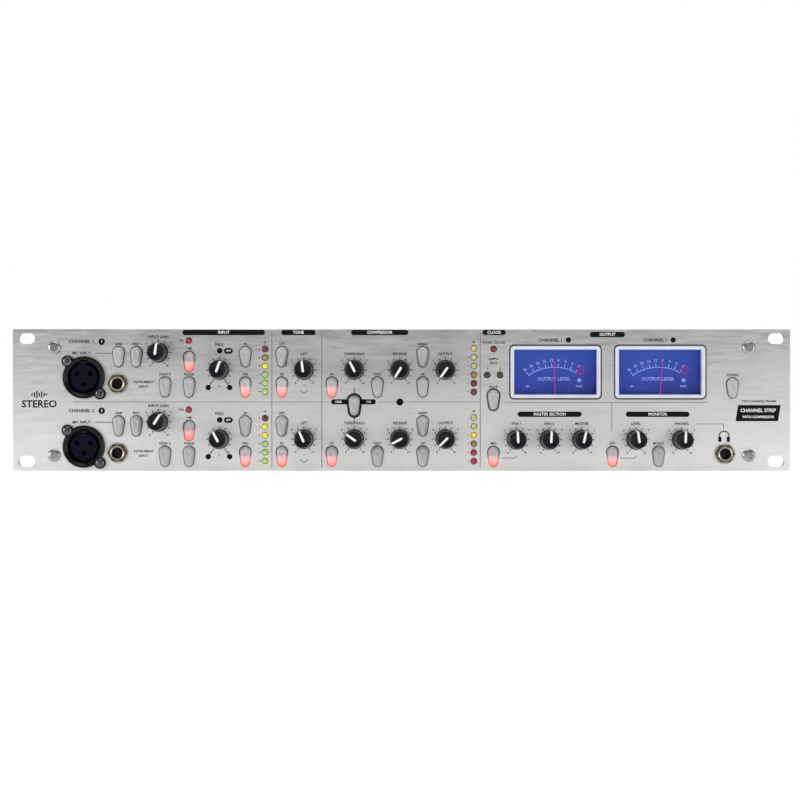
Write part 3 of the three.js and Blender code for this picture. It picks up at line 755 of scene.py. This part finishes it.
def output_print():
    made = written([("WORD CLOCK", 1.45, 57.2, 79.6), ("SAMPLE", 1.3, 57.2, 69.5), ("RATE", 1.3, 57.2, 67),
                    ("1", 1.3, 53.2, 63.4), ("2", 1.3, 61.2, 63.4)])
    for side, number in (("left", 1), ("right", 2)):
        x = METERS[side]
        made.add(lettering(f"CHANNEL {number}", 1.95, x - 3.2, 81.2)).add(disc(x + 8, 81.3, 1.65))
    made.add(frame_line(egg(*BUTTONS["sample_rate_button"], 0.6), 0.35))
    made.add(headphone_mark(200.2, 21.6)).add(strokes([(183.4, 29.2), (199.8, 29.2), (199.8, 25.8)], 0.3))
    for x0, x1 in ((62.2, 70.6), (136, 145)):
        made.add(strokes([(x0, 8), (x1, 8), (x1 + 0.8, 9.6)], 0.35))
    return made


def headphone_mark(x, z):
    """A band over two ear pads."""
    band, steps = 3.1, 14
    bend = [math.radians(195 - 210 * i / steps) for i in range(steps + 1)]
    made = strokes([(x + band * math.cos(a), z + band * math.sin(a)) for a in bend], 0.7)
    for side in SIDES:
        made.add(printed(rounded(x + side * 2.6, z - 1.9, 2, 3.4, 0.7, 4)))
    return made


def maker_mark():
    """A generic title at the left: a small row of level bars over one plain word."""
    x, z, pitch = -224.7, 47.4, 1.5
    made = Shape()
    for i, reach in enumerate((0.8, 1.5, 2.4, 1.2, 2.0, 1.0, 0.6)):
        bar = x + pitch * (i - 3)
        made.add(stroke(bar, z - reach, bar, z + reach, 0.8))
    return made.add(lettering("STEREO", 4.4, x, z - 6))


def badge_print():
    """A generic badge at the right: a dark slanted plate with pale words, and a caption over it."""
    x, z, half, high, slant = 221.3, 35.9, 13.2, 5, 0.8
    corners = [(x - half - slant, z - high), (x + half - slant, z - high), (x + half + slant, z + high),
               (x - half + slant, z + high)]
    dark = printed(lambda margin: corners)
    dark.add(lettering("TWO CHANNEL PREAMP", 1.35, x + 0.5, z + 7.3))
    words = [("CHANNEL STRIP", 2.1, x, z + 1.6), ("WITH COMPRESSOR", 1.5, x, z - 2.4)]
    return dark, written(words, ON_INK)


def divider_lines():
    made = Shape()
    for x in (-80.4, -49.4, 48.9):
        made.add(stroke(x, 2.2, x, PANEL["height"] - 1.8, 0.5))
    for x0, z0, x1, z1, width in ((-204, 42.8, -45, 42.8, 0.4), (-14.5, 42.8, 48.6, 42.8, 0.4),
                                  (64.2, 42.6, 189.9, 42.6, 0.45), (130.5, 42.4, 130.5, 24.7, 0.45)):
        made.add(stroke(x0, z0, x1, z1, width))
    for channel in CHANNELS:
        made.add(stroke(-190, lower(73.1, channel), -180, lower(73.1, channel), 0.7))
    return made


def panel_print():
    black = Shape()
    white = written([("LINK", 1.3, -39, DIVIDER_Z), ("1+2", 1.3, -20.4, DIVIDER_Z)], ON_INK)
    for x0, x1, z, text in PILLS:
        black.add(pill(x0, x1, z, 3.3))
        white.add(lettering(text, 1.75, (x0 + x1) / 2, z, ON_INK))
    shared = channel_print()
    for channel in CHANNELS:
        name_z, off_z = lower(CHANNEL_Z, channel), lower(OFF_Z, channel)
        black.add(shared, shift(z=lower(0, channel)))
        black.add(lettering(f"CHANNEL {channel}", 2.05, -198.6, name_z))
        white.add(written([(str(channel), 1.6, CHANNEL_DOT, name_z), ("OFF", 1.2, -107.4, off_z)], ON_INK))
    for part in (tick_marks(), link_print(), output_print(), maker_mark()):
        black.add(part)
    dark, pale = badge_print()
    piece("panel_print_black", black.add(dark), INK_BLACK)
    piece("panel_print_white", white.add(pale), INK_WHITE)
    piece("panel_print_words", control_words().add(scale_numbers()), INK_BLACK)
    piece("panel_print_lines", divider_lines(), INK_GREY)


# ---- knobs
def knob_shape():
    """A skirt, a fluted tapering grip with a rounded edge, a slightly dished cap, and the shaft behind."""
    sides, flutes, groove = 72, 18, 0.16
    profile = [(12.5, 3, 0), (-0.6, 3, 0), (-0.6, 6.0, 0), (-0.8, 6.2, 0), (-1.9, 6.2, 0), (-2.2, 6.0, 0),
               (-2.5, 5.85, 0.4), (-4, 5.75, 1), (-8, 5.55, 1), (-13, 5.3, 1), (-14.6, 5.18, 0.7),
               (-15.2, 4.95, 0.25), (-15.5, 4.6, 0), (-15.6, 4.2, 0), (-15.55, 3.9, 0), (-15.35, 3.3, 0),
               (-15.3, 1.5, 0)]
    made = Shape()
    rings = []
    for depth, radius, share in profile:
        outline = []
        for i in range(sides):
            degrees = 360 * i / sides
            wave = (1 + math.cos(math.radians(flutes * degrees))) / 2
            outline.append(arc_point(radius - groove * share * wave, degrees))
        rings.append(made.ring(outline, depth))
    return made.skin(rings)


def pointer_shape():
    """The white line from the cap's middle, over its edge and down the grip."""
    path = [(-1.75, -15.5, 0.25), (-1.6, -15.6, 0.5), (-1.2, -15.65, 0.68), (-0.6, -15.65, 0.74),
            (3.3, -15.66, 0.66), (4.2, -15.8, 0.62), (4.75, -15.7, 0.6), (5.15, -15.3, 0.58),
            (5.35, -14.5, 0.56), (5.48, -13, 0.54), (5.72, -8, 0.48), (5.86, -4.2, 0.42)]
    cap_edge, cap_sink, grip_sink = 4.3, 0.35, 0.3
    made = Shape()
    rings = []
    for i, (radius, depth, half) in enumerate(path):
        before = Vector(path[max(i - 1, 0)][:2])
        after = Vector(path[min(i + 1, len(path) - 1)][:2])
        along = (after - before).normalized()
        inward = -abs(along.y) * grip_sink
        inner, sunk = (radius, depth + cap_sink) if radius < cap_edge else (radius + inward, depth)
        corners = [(-half, depth, radius), (half, depth, radius), (half, sunk, inner), (-half, sunk, inner)]
        rings.append(made.loop(corners))
    return made.skin(rings)


def knobs():
    grip = mesh("knob_grip", knob_shape(), KNOB_PLASTIC)
    pointer = mesh("knob_pointer", pointer_shape(), POINTER_PAINT)
    for node, (x, z, angle) in KNOBS.items():
        placed(f"{node}_grip", grip, node, [node], (x, 0, z), angle)
        placed(f"{node}_pointer", pointer, node, (), (x, 0, z), angle)


# ---- buttons
def button_shape():
    """An egg-shaped cap with a rolled edge, a gently crowned face and a round finger dish, and its stem."""
    outline = egg(0, 0)
    made = Shape()
    dish_z, dish_radius, dish_depth = 1.9, 2.1, 0.6

    def face_depth(x, z):
        crown = 0.18 * ((x / 3.5) ** 2 + (z / 6.2) ** 2)
        reach = math.hypot(x, z - dish_z) / dish_radius
        dish = dish_depth * (1 - reach ** 2) if reach < 1 else 0.0
        return -3.0 + crown + dish

    edge = [(1.2, -0.3), (1.0, 0), (-0.7, 0), (-1.25, -0.1), (-1.8, -0.36), (-2.25, -0.72), (-2.58, -1.12)]
    rings = [made.ring(outline(margin), depth) for depth, margin in edge]
    rim, face_rings = outline(-1.5), 12
    for step in range(face_rings):
        share = 1 - (step / face_rings) ** 1.1
        points = [(x * share, dish_z + (z - dish_z) * share) for x, z in rim]
        rings.append(made.loop([(x, face_depth(x, z), z) for x, z in points]))
    made.skin(rings)
    stem, stem_end = 1.5, 9
    made.block((-stem, 0.8, -stem), (stem, stem_end, stem), 0.2)
    stop = [(4.25, -0.1), (4.35, 0), (4.85, 0), (4.95, -0.1)]
    return made.loft(egg(0, 0, 0.65), stop)


def buttons():
    shape = button_shape()
    kinds = {True: ("button_lit", mesh("lit_button", shape, LIT_BUTTON, 40)),
             False: ("button", mesh("button", shape, BUTTON_PLASTIC, 40))}
    standing = 3
    for node, (x, z) in BUTTONS.items():
        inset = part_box(node)[0].y / MM - FRONT + standing
        slot, data = kinds[inset > 0.5]
        placed(f"{node}_cap", data, node, [node], (x, inset, z))


# ---- indicator lights
def indicator_lights():
    steps = [(13, -0.1), (-0.05, 0), (-0.35, -0.12), (-0.62, -0.4), (-0.8, -0.8), (-0.88, -1.25)]
    groups = {}
    for x, z, colour in LIGHTS:
        groups.setdefault(colour, Shape()).loft(circle(x, z, 1.65, 24), steps)
    for colour, made in groups.items():
        piece(f"lights_{colour}", made, LAMPS[colour], smooth=60)


# ---- microphone sockets
def mic_socket(x, z):
    """(shell, insert) of a three-hole socket with two screw ears."""
    ring = circle(0, 0, 13.15, 56)
    shell = Shape().loft(ring, [
        (34, -1.45), (-0.3, -1.45), (-0.3, 0), (-1.4, 0), (-1.95, -0.2), (-2.25, -0.6), (-2.3, -0.95),
        (-2.2, -1.25), (-1.6, -1.9), (-1.1, -2.5), (-0.85, -2.95), (11, -2.95), (11, -4.6), (34, -4.6)],
        hollow=True)
    for sign in (-1, 1):
        ear = (sign * XLR_EAR, -sign * XLR_EAR)
        shell.pierced(circle(*ear, 3.6, 32), [circle(*ear, 1.6, 20)], -1.9, -0.3, 0.35, 0.15)
    latch_tab = rounded(0, 9.35, 4.6, 1.5, 0.6, 4)
    shell.slab(latch_tab, -1.7, 9, 0.25)
    pins = [circle(px, pz, 1.45, 20) for px, pz in ((-4.2, 2.2), (4.2, 2.2), (0, -4.2))]
    insert = Shape().pierced(circle(0, 0, 8.4, 44), pins, -1.3, 10, 0.4, 0.2)
    insert.slab(circle(0, 0, 8.2, 32), 9.8, 12, 0.2)
    key = rounded(0, -8.6, 1.6, 1.2, 0.4, 3)
    insert.slab(key, -1.1, 8, 0.15)
    where = shift(x, 0, z)
    return shell.moved(where), insert.moved(where)


def jack_socket(x, z, back):
    """(bright washer and bushing, darker nut, body) of a quarter-inch jack."""
    washer = Shape().loft(circle(0, 0, 6.5, 44), [(-0.05, 0), (-0.4, 0), (-0.6, -0.2), (-0.6, -1.4),
                                                  (-0.05, -1.4)], hollow=True)
    nut = Shape().loft(circle(0, 0, 6.1, 6), [(-0.55, 0), (-1.45, 0), (-1.75, -0.35), (-1.8, -0.9),
                                              (-1.7, -1.3), (-0.55, -1.3)], hollow=True)
    bushing = Shape().loft(circle(0, 0, 4.5, 40), [(6, -0.1), (-1.9, 0), (-2.2, -0.2), (-2.3, -0.55),
                                                   (-2.15, -0.95), (-1.6, -1.15), (6, -1.15)], hollow=True)
    body = Shape().block((-7, 4.3, -6.3), (7, back, 6.3), 0.4)
    throat = [(4, 0), (-0.6, -0.9), (-0.6, -1.05), (4, -1.05)]
    lining = Shape().loft(circle(0, 0, 4.2, 32), throat, hollow=True)
    lining.loft(circle(0, 0, 3.3, 24), [(2.5, 0), (4.4, 0)])
    where = shift(x, 0, z)
    return washer.add(bushing).moved(where), nut.moved(where), body.add(lining).moved(where)


def front_sockets():
    shells, inserts, bright, nuts, bodies = Shape(), Shape(), Shape(), Shape(), Shape()
    board_face, board_back = 34, 35.6
    ears = []
    for x, z in XLR_AT:
        shell, insert = mic_socket(x, z)
        shells.add(shell)
        inserts.add(insert)
        ears += [(x + sign * XLR_EAR, -1.7, z - sign * XLR_EAR) for sign in SIDES]
    for x, z in JACKS_AT:
        for group, part in zip((bright, nuts, bodies), jack_socket(x, z, board_face)):
            group.add(part)
    piece("mic_socket_shells", shells, SOCKET_PLASTIC, ["input_sockets"])
    piece("mic_socket_inserts", inserts, SOCKET_INSERT)
    piece("jack_bushings", bright, NICKEL)
    piece("jack_nuts", nuts, NUT_BRONZE, smooth=20)
    piece("jack_bodies", bodies, SOCKET_PLASTIC)
    board = Shape().slab(rounded(-188.5, 43.5, 45, 77, 1, 3), board_face, board_back, 0.1)
    piece("input_socket_board", board, BOARD_GREEN)
    screws("mic_socket_screws", ears, 2.7, 1.2, 2.8, BLACK_ZINC)


# ---- meters
def dial_print(pivot):
    """(pale, red) printing on a dial, about its middle: scale arc, marks, numbers, caption and zone."""
    where = (METER["dial"] - 0.45, 0.1)
    radius, first, last, red_end = 27.4, -35.6, 28.4, 34

    def line(r0, a0, r1, a1, width):
        (x0, z0), (x1, z1) = arc_point(r0, a0), arc_point(r1, a1)
        return stroke(x0, z0 + pivot, x1, z1 + pivot, width, *where)

    numbers = ("40", "30", "20", "16", "12", "8", "4", "2", "0")
    step = (last - first) / (len(numbers) - 1)
    pale = Shape()
    for i, text in enumerate(numbers):
        angle = first + i * step
        halfway = angle + step / 2
        pale.add(line(radius - 0.25, angle, radius + 2.4, angle, 0.6))
        if i < len(numbers) - 1:
            pale.add(line(radius, angle, radius, halfway, 0.45))
            pale.add(line(radius, halfway, radius, angle + step, 0.45))
            pale.add(line(radius, halfway, radius + 1.2, halfway, 0.35))
        x, z = arc_point(radius + 4.3, angle)
        pale.add(lettering(text, 1.7, x, z + pivot, *where))
    words = [("OUTPUT LEVEL", 2.1, -0.5, -4.3), ("PEAK", 1.3, 15.4, -8.8), ("dB", 1.4, -17, -8.8)]
    pale.add(written(words, *where)).add(disc(15.4, -5, 1.2, *where))

    x, z = arc_point(radius + 3.3, 32)
    z += pivot
    red = frame_line(circle(x, z, 1.9, 28), 0.6, *where)
    red.add(stroke(x - 1.9, z - 1.2, x + 1.9, z + 0.6, 0.5, *where))
    red.add(line(radius, last, radius, red_end, 0.5))
    return pale, red.add(line(radius, red_end, radius + 2, 36, 0.5))


def meter_bezel():
    """A rounded frame with a raised face, sloping in to the window."""
    gap = 0.7
    outer = rounded(0, 0, METER["width"] - gap, METER["height"] - gap, 2.4, 8)
    wide = (METER["width"] - gap - METER["window_width"]) / 2
    steps = [(4.6, 0), (-0.3, 0), (-0.65, -0.15), (-0.8, -0.5), (-0.8, 0.9 - wide), (-0.65, 0.45 - wide),
             (-0.2, 0.12 - wide), (0.3, 0.02 - wide), (4.6, 0.02 - wide)]
    return Shape().loft(outer, steps, hollow=True)


def meter_case(side, pivot):
    """The dark box behind the dial, and the low walls and the cover round the dial's edge."""
    low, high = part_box(f"meter_{side}")
    bottom, top = low.z / MM - METER["z"], high.z / MM - METER["z"]
    half, wall, front, back = 30, 28.4, 4.3, 7.3
    case = Shape().block((-half, METER["dial"] + 0.1, bottom), (half, 26, top), 0.8)
    inner, over_bezel = wall + 0.1, METER["height"] / 2 + 0.1
    for x0, x1, z0, z1 in ((-half, -wall, bottom, top), (wall, half, bottom, top),
                           (-inner, inner, bottom, bottom + 1.5), (-inner, inner, over_bezel, top)):
        case.block((x0, front, z0), (x1, back, z1), 0.2)
    return case.block((-inner, front, pivot - 4.4), (inner, 4.9, -METER["window_height"] / 2 - 0.1), 0.15)


def meter(side, x):
    at = (x, 0, METER["z"])
    pivot = JOINT_OF[f"meter_needle_{side}"]["pos_m"][2] / MM - METER["z"]
    window = rounded(0, 0, METER["window_width"] - 0.2, METER["window_height"] - 0.2, 0.6, 3)
    dial = Shape().slab(rounded(0, -4.5, 56, 40, 0.6, 3), METER["dial"] - 0.4, METER["dial"], 0.05)
    post = Shape().loft(circle(0, 0, 1, 20), [(5.15, -0.2), (5.3, 0), (7.3, 0)])
    pale, red = dial_print(pivot)
    name = f"meter_{side}"
    piece(f"{name}_bezel", meter_bezel(), BEZEL_PLASTIC, [name], at)
    piece(f"{name}_window", Shape().slab(window, 0.5, 1.3, 0.15), WINDOW, (), at)
    piece(f"{name}_dial", dial, DIAL_BLUE, (), at)
    piece(f"{name}_scale", pale, DIAL_PRINT, (), at)
    piece(f"{name}_zone", red, DIAL_RED, (), at)
    piece(f"{name}_case", meter_case(side, pivot), METER_CASE, (), at)
    piece(f"{name}_post", post, ZINC, (), (x, 0, METER["z"] + pivot))


def needle_shape():
    """A pointed blade and a short tail on a ring that turns round the post."""
    blade = [(-0.42, 0), (0.42, 0), (0.26, 31), (0.0, 31.6), (-0.26, 31)]
    tail = [(-0.9, -3.9), (0.9, -3.9), (0.6, -0.8), (-0.6, -0.8)]
    made = Shape().loft(lambda margin: blade, [(5.45, 0), (5.85, 0)])
    made.loft(lambda margin: tail, [(5.4, 0), (5.9, 0)])
    hub = [(6.3, -0.15), (6.15, 0), (5.45, 0), (5.3, -0.15), (5.3, -0.95), (6.3, -0.95)]
    return made.loft(circle(0, 0, 2.4, 32), hub, hollow=True)


def needles():
    data = mesh("needle", needle_shape(), NEEDLE_PAINT_AND_PAINTED_GLOW)
    for side, x in METERS.items():
        node = f"meter_needle_{side}"
        _, pivot, degrees = turning_place(node)
        placed(f"{node}_blade", data, node, [node], (x, 0, pivot), degrees)


# ---- chassis
def in_plan(shape, z):
    """A plate drawn as (x, depth) in (x, z), laid flat with its outer face at z."""
    return shape.moved(Matrix(((1, 0, 0, 0), (0, 0, 1, 0), (0, -1, 0, z), (0, 0, 0, 1))))


def chassis_tray():
    half, bottom, front, back = CHASSIS["half"], CHASSIS["bottom"], CHASSIS["front"], CHASSIS["back"]
    sheet, wall_top = CHASSIS["sheet"], CHASSIS["top"] - 1.5
    middle, tall = (bottom + wall_top) / 2, wall_top - bottom
    tray = Shape().block((-half, front, bottom), (half, back, bottom + sheet), 0.35)
    for side in SIDES:
        x0, x1 = sorted((side * half, side * (half - sheet)))
        tray.block((x0, front, bottom), (x1, back, wall_top), 0.35)
        holes = [circle(x, z, SCREW_HOLE, 16) for x, z in SCREWS_AT if x * side > 0]
        lip = rounded(side * (half - CHASSIS["flange"] / 2), middle, CHASSIS["flange"], tall, 0.4, 2)
        tray.pierced(lip, holes, front, front + sheet, 0.2)
    card = OPTION_SLOT
    holes = [circle(x, REAR["low"], XLR_HOLE) for x in REAR["xlr"]]
    holes += [circle(x, z, JACK_HOLE, 28) for x in REAR["jacks"] for z in (REAR["low"], REAR["high"])]
    holes.append(rounded(REAR["inlet"], REAR["low"], 28.6, 21, 1.2))
    holes.append(rounded(card["x"], card["z"], card["width"], card["height"], 0.3, 2))
    tray.pierced(rounded(0, middle, 2 * half, tall, 0.6, 3), holes, back - sheet, back, 0.25, 0.15)
    piece("chassis_shell", tray, CASE_PAINT, ["chassis_tray"])


def top_cover():
    low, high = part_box("top_cover")
    front, back = low.y / MM - FRONT, high.y / MM - FRONT
    half, top = high.x / MM, high.z / MM
    sheet, side_lip, back_lip, under = CHASSIS["sheet"], 14, 8, 0.3
    vents = dict(rows=(70, 190), count=12, x=85, pitch=8, width=3, length=36)
    slots = [rounded(vents["x"] + (i - (vents["count"] - 1) / 2) * vents["pitch"], depth, vents["width"],
                     vents["length"], 1.49, 8) for depth in vents["rows"] for i in range(vents["count"])]
    plan = rounded(0, (front + back) / 2, 2 * half, back - front, 0.6, 3)
    cover = in_plan(Shape().pierced(plan, slots, 0, sheet, 0.3, 0.2), top)
    for side in SIDES:
        x0, x1 = sorted((side * half, side * (half - sheet)))
        cover.block((x0, front, top - side_lip), (x1, back, top - under), 0.3)
    cover.block((-half, back - sheet, top - back_lip), (half, back, top - under), 0.3)
    piece("cover_shell", cover, CASE_PAINT, ["top_cover"])
    for side, name in zip(SIDES, ("left", "right")):
        places = [(side * half, depth, top - 8) for depth in (30, 128, 226)]
        outwards = turn("Z", 90 * side)
        screws(f"cover_screws_{name}", places, 2.4, 0.9, 2.4, BLACK_ZINC, outwards)


# ---- rear connectors
def rear_connectors():
    shells, pins, bright, nuts, bodies = Shape(), Shape(), Shape(), Shape(), Shape()
    low, high, ear = REAR["low"], REAR["high"], 14.6
    wall = [(16, -1.45), (-0.3, -1.45), (-0.3, 0), (-1.7, 0), (-2.2, -0.3), (-2.4, -0.8), (-2.4, -2.6),
            (-2.1, -3.4), (0, -3.75), (12, -3.75), (12, -9), (16, -9)]
    shell = Shape().loft(circle(0, 0, 13.15, 48), wall, hollow=True)
    shell.slab(circle(0, 0, 9.6, 32), 11.8, 13, 0.2)
    stand = Shape()
    for x, z in ((-4.2, 2.4), (4.2, 2.4), (0, -4.2)):
        stand.loft(circle(x, z, 1.2, 20), [(13, 0), (1.2, 0), (0.7, -0.3), (0.4, -0.8)])
    for x in REAR["xlr"]:
        shells.add(shell, to_rear(x, low))
        pins.add(stand, to_rear(x, low))
    rings, nut, _ = jack_socket(0, 0, 30)
    floor = Shape().loft(circle(0, 0, 3.4, 24), [(1.0, 0), (2.0, 0)])
    for x in REAR["jacks"]:
        bodies.add(Shape().block((-7, 1.5, 5.4), (7, 32, high + 7), 0.4), to_rear(x))
        for z in (low, high):
            for group, part in ((bright, rings), (nuts, nut), (bodies, floor)):
                group.add(part, to_rear(x, z))
    piece("rear_socket_shells", shells, SOCKET_PLASTIC)
    piece("rear_socket_pins", pins, NICKEL)
    piece("rear_jack_bushings", bright, NICKEL)
    piece("rear_jack_nuts", nuts, NUT_BRONZE, smooth=20)
    piece("rear_jack_bodies", bodies, SOCKET_PLASTIC)
    mains_inlet()
    ears = [(x + sign * ear, CHASSIS["back"] + 0.1, low) for x in REAR["xlr"] for sign in SIDES]
    screws("rear_screws", ears, 2.2, 0.9, 2.2, BLACK_ZINC, turn("Z", 180))


def mains_inlet():
    core = rounded(0, 0, 27.8, 20.2, 1, 3)
    mouth = (0, 0, 24, 16.4)
    inlet = Shape().pierced(rounded(0, 0, 33, 26, 1.5, 5), [rounded(*mouth, 1.4, 5)], -2.5, -0.3, 0.4, 0.3)
    inlet.pierced(core, [rounded(*mouth, 1.2, 5)], -0.6, 16, 0.15)
    inlet.slab(core, 15.8, 20, 0.3)
    where = to_rear(REAR["inlet"], REAR["low"])
    piece("mains_inlet_body", inlet.moved(where), SOCKET_PLASTIC)
    blades = Shape()
    for x, z in ((-7, 1), (0, -3), (7, 1)):
        blades.block((x - 1, 0.2, z - 2), (x + 1, 16, z + 2), 0.3)
    piece("mains_inlet_blades", blades.moved(where), NICKEL)


def rear_print():
    x, z = OPTION_SLOT["x"], OPTION_SLOT["z"]
    words = [(x, z - 13, "DIGITAL OUTPUT CARD"), (REAR["inlet"], 38.5, "MAINS")]
    words += [(at, 38, f"LINE OUT {i + 1}") for i, at in enumerate(REAR["xlr"])]
    words += [(at, 54, f"INSERT {i + 1}") for i, at in enumerate(REAR["jacks"])]
    made = Shape()
    for at, height, text in words:
        made.add(lettering(text, 2.2, 0, height), to_rear(at))
    piece("rear_print_words", made, INK_WHITE)
    places = [(x + side * 41, CHASSIS["back"], z) for side in SIDES]
    screws("option_slot_screws", places, 2.4, 0.9, 2.4, ZINC, turn("Z", 180))


# ---- boards and transformer
def control_board():
    outline = rounded(13.75, 44.25, 394.5, 79.5, 1, 3)
    cutouts = [rounded(x, 55.5, 61.8, 50.8, 1, 3) for x in METERS.values()]
    cutouts += [rounded(x, z, 15.4, 14, 1, 3) for x, z in JACKS_AT[:2]]
    parts_front, face, back = 8, 14, 15.6
    board = Shape().pierced(outline, cutouts, face, back, 0.1)
    pots, switches = Shape(), Shape()
    for x, z, _ in KNOBS.values():
        pots.pierced(rounded(x, z, 10, 11, 0.6, 3), [circle(x, z, 3.7, 24)], parts_front, face, 0.2)
    for x, z in BUTTONS.values():
        stem_hole = rounded(x, z, 3.8, 3.8, 0.3, 2)
        switches.pierced(rounded(x, z, 7.2, 8, 0.4, 2), [stem_hole], parts_front, face, 0.15)
    piece("control_circuit_board", board, BOARD_GREEN, ["control_board"])
    piece("pots", pots, CHIP_BLACK)
    piece("switches", switches, METER_CASE)


def main_board():
    """A board over the tray's floor, with one strip behind the transformer and one forward beside it."""
    under, top = 3.8, 5.4
    board, chips, cans = Shape(), Shape(), Shape()
    for x0, x1, y0, y1 in ((-205, 20, 90, 250), (19.5, 208, 225, 250), (193, 208, 12, 226)):
        board.block((x0, y0, under), (x1, y1, top), 0.15)
    for x, y in ((-150, 120), (-110, 120), (-70, 120), (-30, 120), (-150, 165), (-70, 165)):
        chips.block((x - 9, y - 5, top - 0.1), (x + 9, y + 5, top + 4), 0.4)
    sleeve = [(0, 0), (21.5, 0), (22.3, -0.3), (23, -0.9), (23.1, -1.3), (22.9, -1.8)]
    can = Shape().loft(circle(0, 0, 6, 32), sleeve).moved(turn("X", 90))
    for x in (-10, 6):
        cans.add(can, shift(x, 196, top))
    piece("main_circuit_board", board, BOARD_GREEN, ["main_board"])
    piece("chips", chips, CHIP_BLACK)
    piece("capacitors", cans, CAPACITOR, smooth=50)


def ring_transformer():
    """A wound ring standing on the tray, under a dished washer and its bolt."""
    low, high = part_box("ring_transformer")
    at = ((low.x + high.x) / 2 / MM, (low.y + high.y) / 2 / MM - FRONT, low.z / MM)
    half_height, half_width, outer, sides, squareness = 17, 13, 38, 24, 0.6

    def squared(wave):
        return math.copysign(abs(wave) ** squareness, wave)

    waves = [arc_point(1, 360 * i / sides) for i in range(sides)]
    section = [(half_height * (1 + squared(up)), half_width * (squared(out) - 1)) for up, out in waves]
    ring = Shape().loft(circle(0, 0, outer, 96), section, hollow=True)
    dish = [(33.9, -1), (34.6, 0), (35.6, -0.2), (34.6, -8), (34.2, -18.5), (33.2, -18.5), (33.4, -8)]
    washer = Shape().loft(circle(0, 0, 24, 56), dish, hollow=True)
    washer.loft(circle(0, 0, 5.4, 6), [(34.2, 0), (37.9, 0), (38.4, -0.5)])
    washer.loft(circle(0, 0, 2.9, 24), [(0.1, 0), (34.4, 0)])
    flat = turn("X", 90)
    piece("transformer_ring", ring.moved(flat), TAPE, ["ring_transformer"], at)
    piece("transformer_washer_and_bolt", washer.moved(flat), ZINC, (), at)


# ---- stage, light, camera
def stage():
    """A pale floor that runs out of sight, in a plain studio."""
    reach = 6.0
    floor = bpy.data.meshes.new("floor")
    corners = [(-reach, -reach, 0), (reach, -reach, 0), (reach, reach, 0), (-reach, reach, 0)]
    floor.from_pydata(corners, [], [(0, 1, 2, 3)])
    made = Finish("floor_paper", (0.9, 0.9, 0.9), 0.8, Emission_Color=(1, 1, 1), Emission_Strength=0.45)
    made.paint(made.ramp(made.noise(0.004, 3.0), [(0.3, (0.9, 0.9, 0.9)), (0.7, (0.93, 0.93, 0.93))]))
    floor.materials.append(made.material)
    item = bpy.data.objects.new("floor", floor)
    bpy.context.scene.collection.objects.link(item)
    world = bpy.data.worlds.new("studio")
    world.use_nodes = True
    studio_walls(world.node_tree)
    bpy.context.scene.world = world
    bpy.context.scene.view_settings.view_transform = "Standard"


def studio_walls(tree):
    """White walls behind the object, fading to a dim room in front of it, dimmest high on the right."""
    direction = tree.nodes.new("ShaderNodeTexCoord").outputs["Generated"]
    split = tree.nodes.new("ShaderNodeVectorMath")
    split.operation = "DOT_PRODUCT"
    split.inputs[1].default_value = (0.03, 0.95, -0.3)
    tree.links.new(direction, split.inputs[0])
    fade = tree.nodes.new("ShaderNodeMapRange")
    fade.interpolation_type = "SMOOTHSTEP"
    for label, value in (("From Min", -1.0), ("From Max", 0.55), ("To Min", 0.2), ("To Max", 1.0)):
        fade.inputs[label].default_value = value
    tree.links.new(split.outputs["Value"], fade.inputs["Value"])
    tree.links.new(fade.outputs["Result"], tree.nodes["Background"].inputs["Color"])
    tree.nodes["Background"].inputs["Strength"].default_value = 1.0


def soft_light(name, location, size, power):
    """An area light that faces the object's front."""
    target = Vector((0, -0.05, 0.04))
    data = bpy.data.lights.new(name, "AREA")
    data.shape = "RECTANGLE"
    data.size, data.size_y = size
    data.energy = power
    item = bpy.data.objects.new(name, data)
    item.location = location
    item.rotation_euler = (target - Vector(location)).to_track_quat("-Z", "Y").to_euler()
    bpy.context.scene.collection.objects.link(item)


def lights():
    soft_light("key_light", (-1.6, -1.1, 0.2), (0.8, 0.8), 16)
    soft_light("fill_light", (1.4, -1.4, 0.1), (0.7, 0.9), 10)
    soft_light("top_light", (0.1, -0.2, 1.5), (1.4, 1.0), 10)


def camera():
    """Straight on, from 1.1 m in front of the panel, a touch left of its middle."""
    distance, seen_width, left, height = 1.1, 0.4964, 0.0009, 0.04405
    data = bpy.data.cameras.new("camera")
    data.sensor_width = 36
    data.lens = data.sensor_width * distance / seen_width
    item = bpy.data.objects.new("camera", data)
    item.location = (-left, FRONT * MM - distance, height)
    item.rotation_euler = (math.pi / 2, 0, 0)
    bpy.context.scene.collection.objects.link(item)
    bpy.context.scene.camera = item


camera()
stage()
lights()
front_panel()
panel_print()
knobs()
buttons()
indicator_lights()
front_sockets()
for meter_side, meter_x in METERS.items():
    meter(meter_side, meter_x)
needles()
screws("fascia_screws", [(x, 0, z) for x, z in SCREWS_AT], 3.95, 1.6, 4.4, ZINC)
chassis_tray()
top_cover()
rear_connectors()
rear_print()
control_board()
main_board()
ring_transformer()
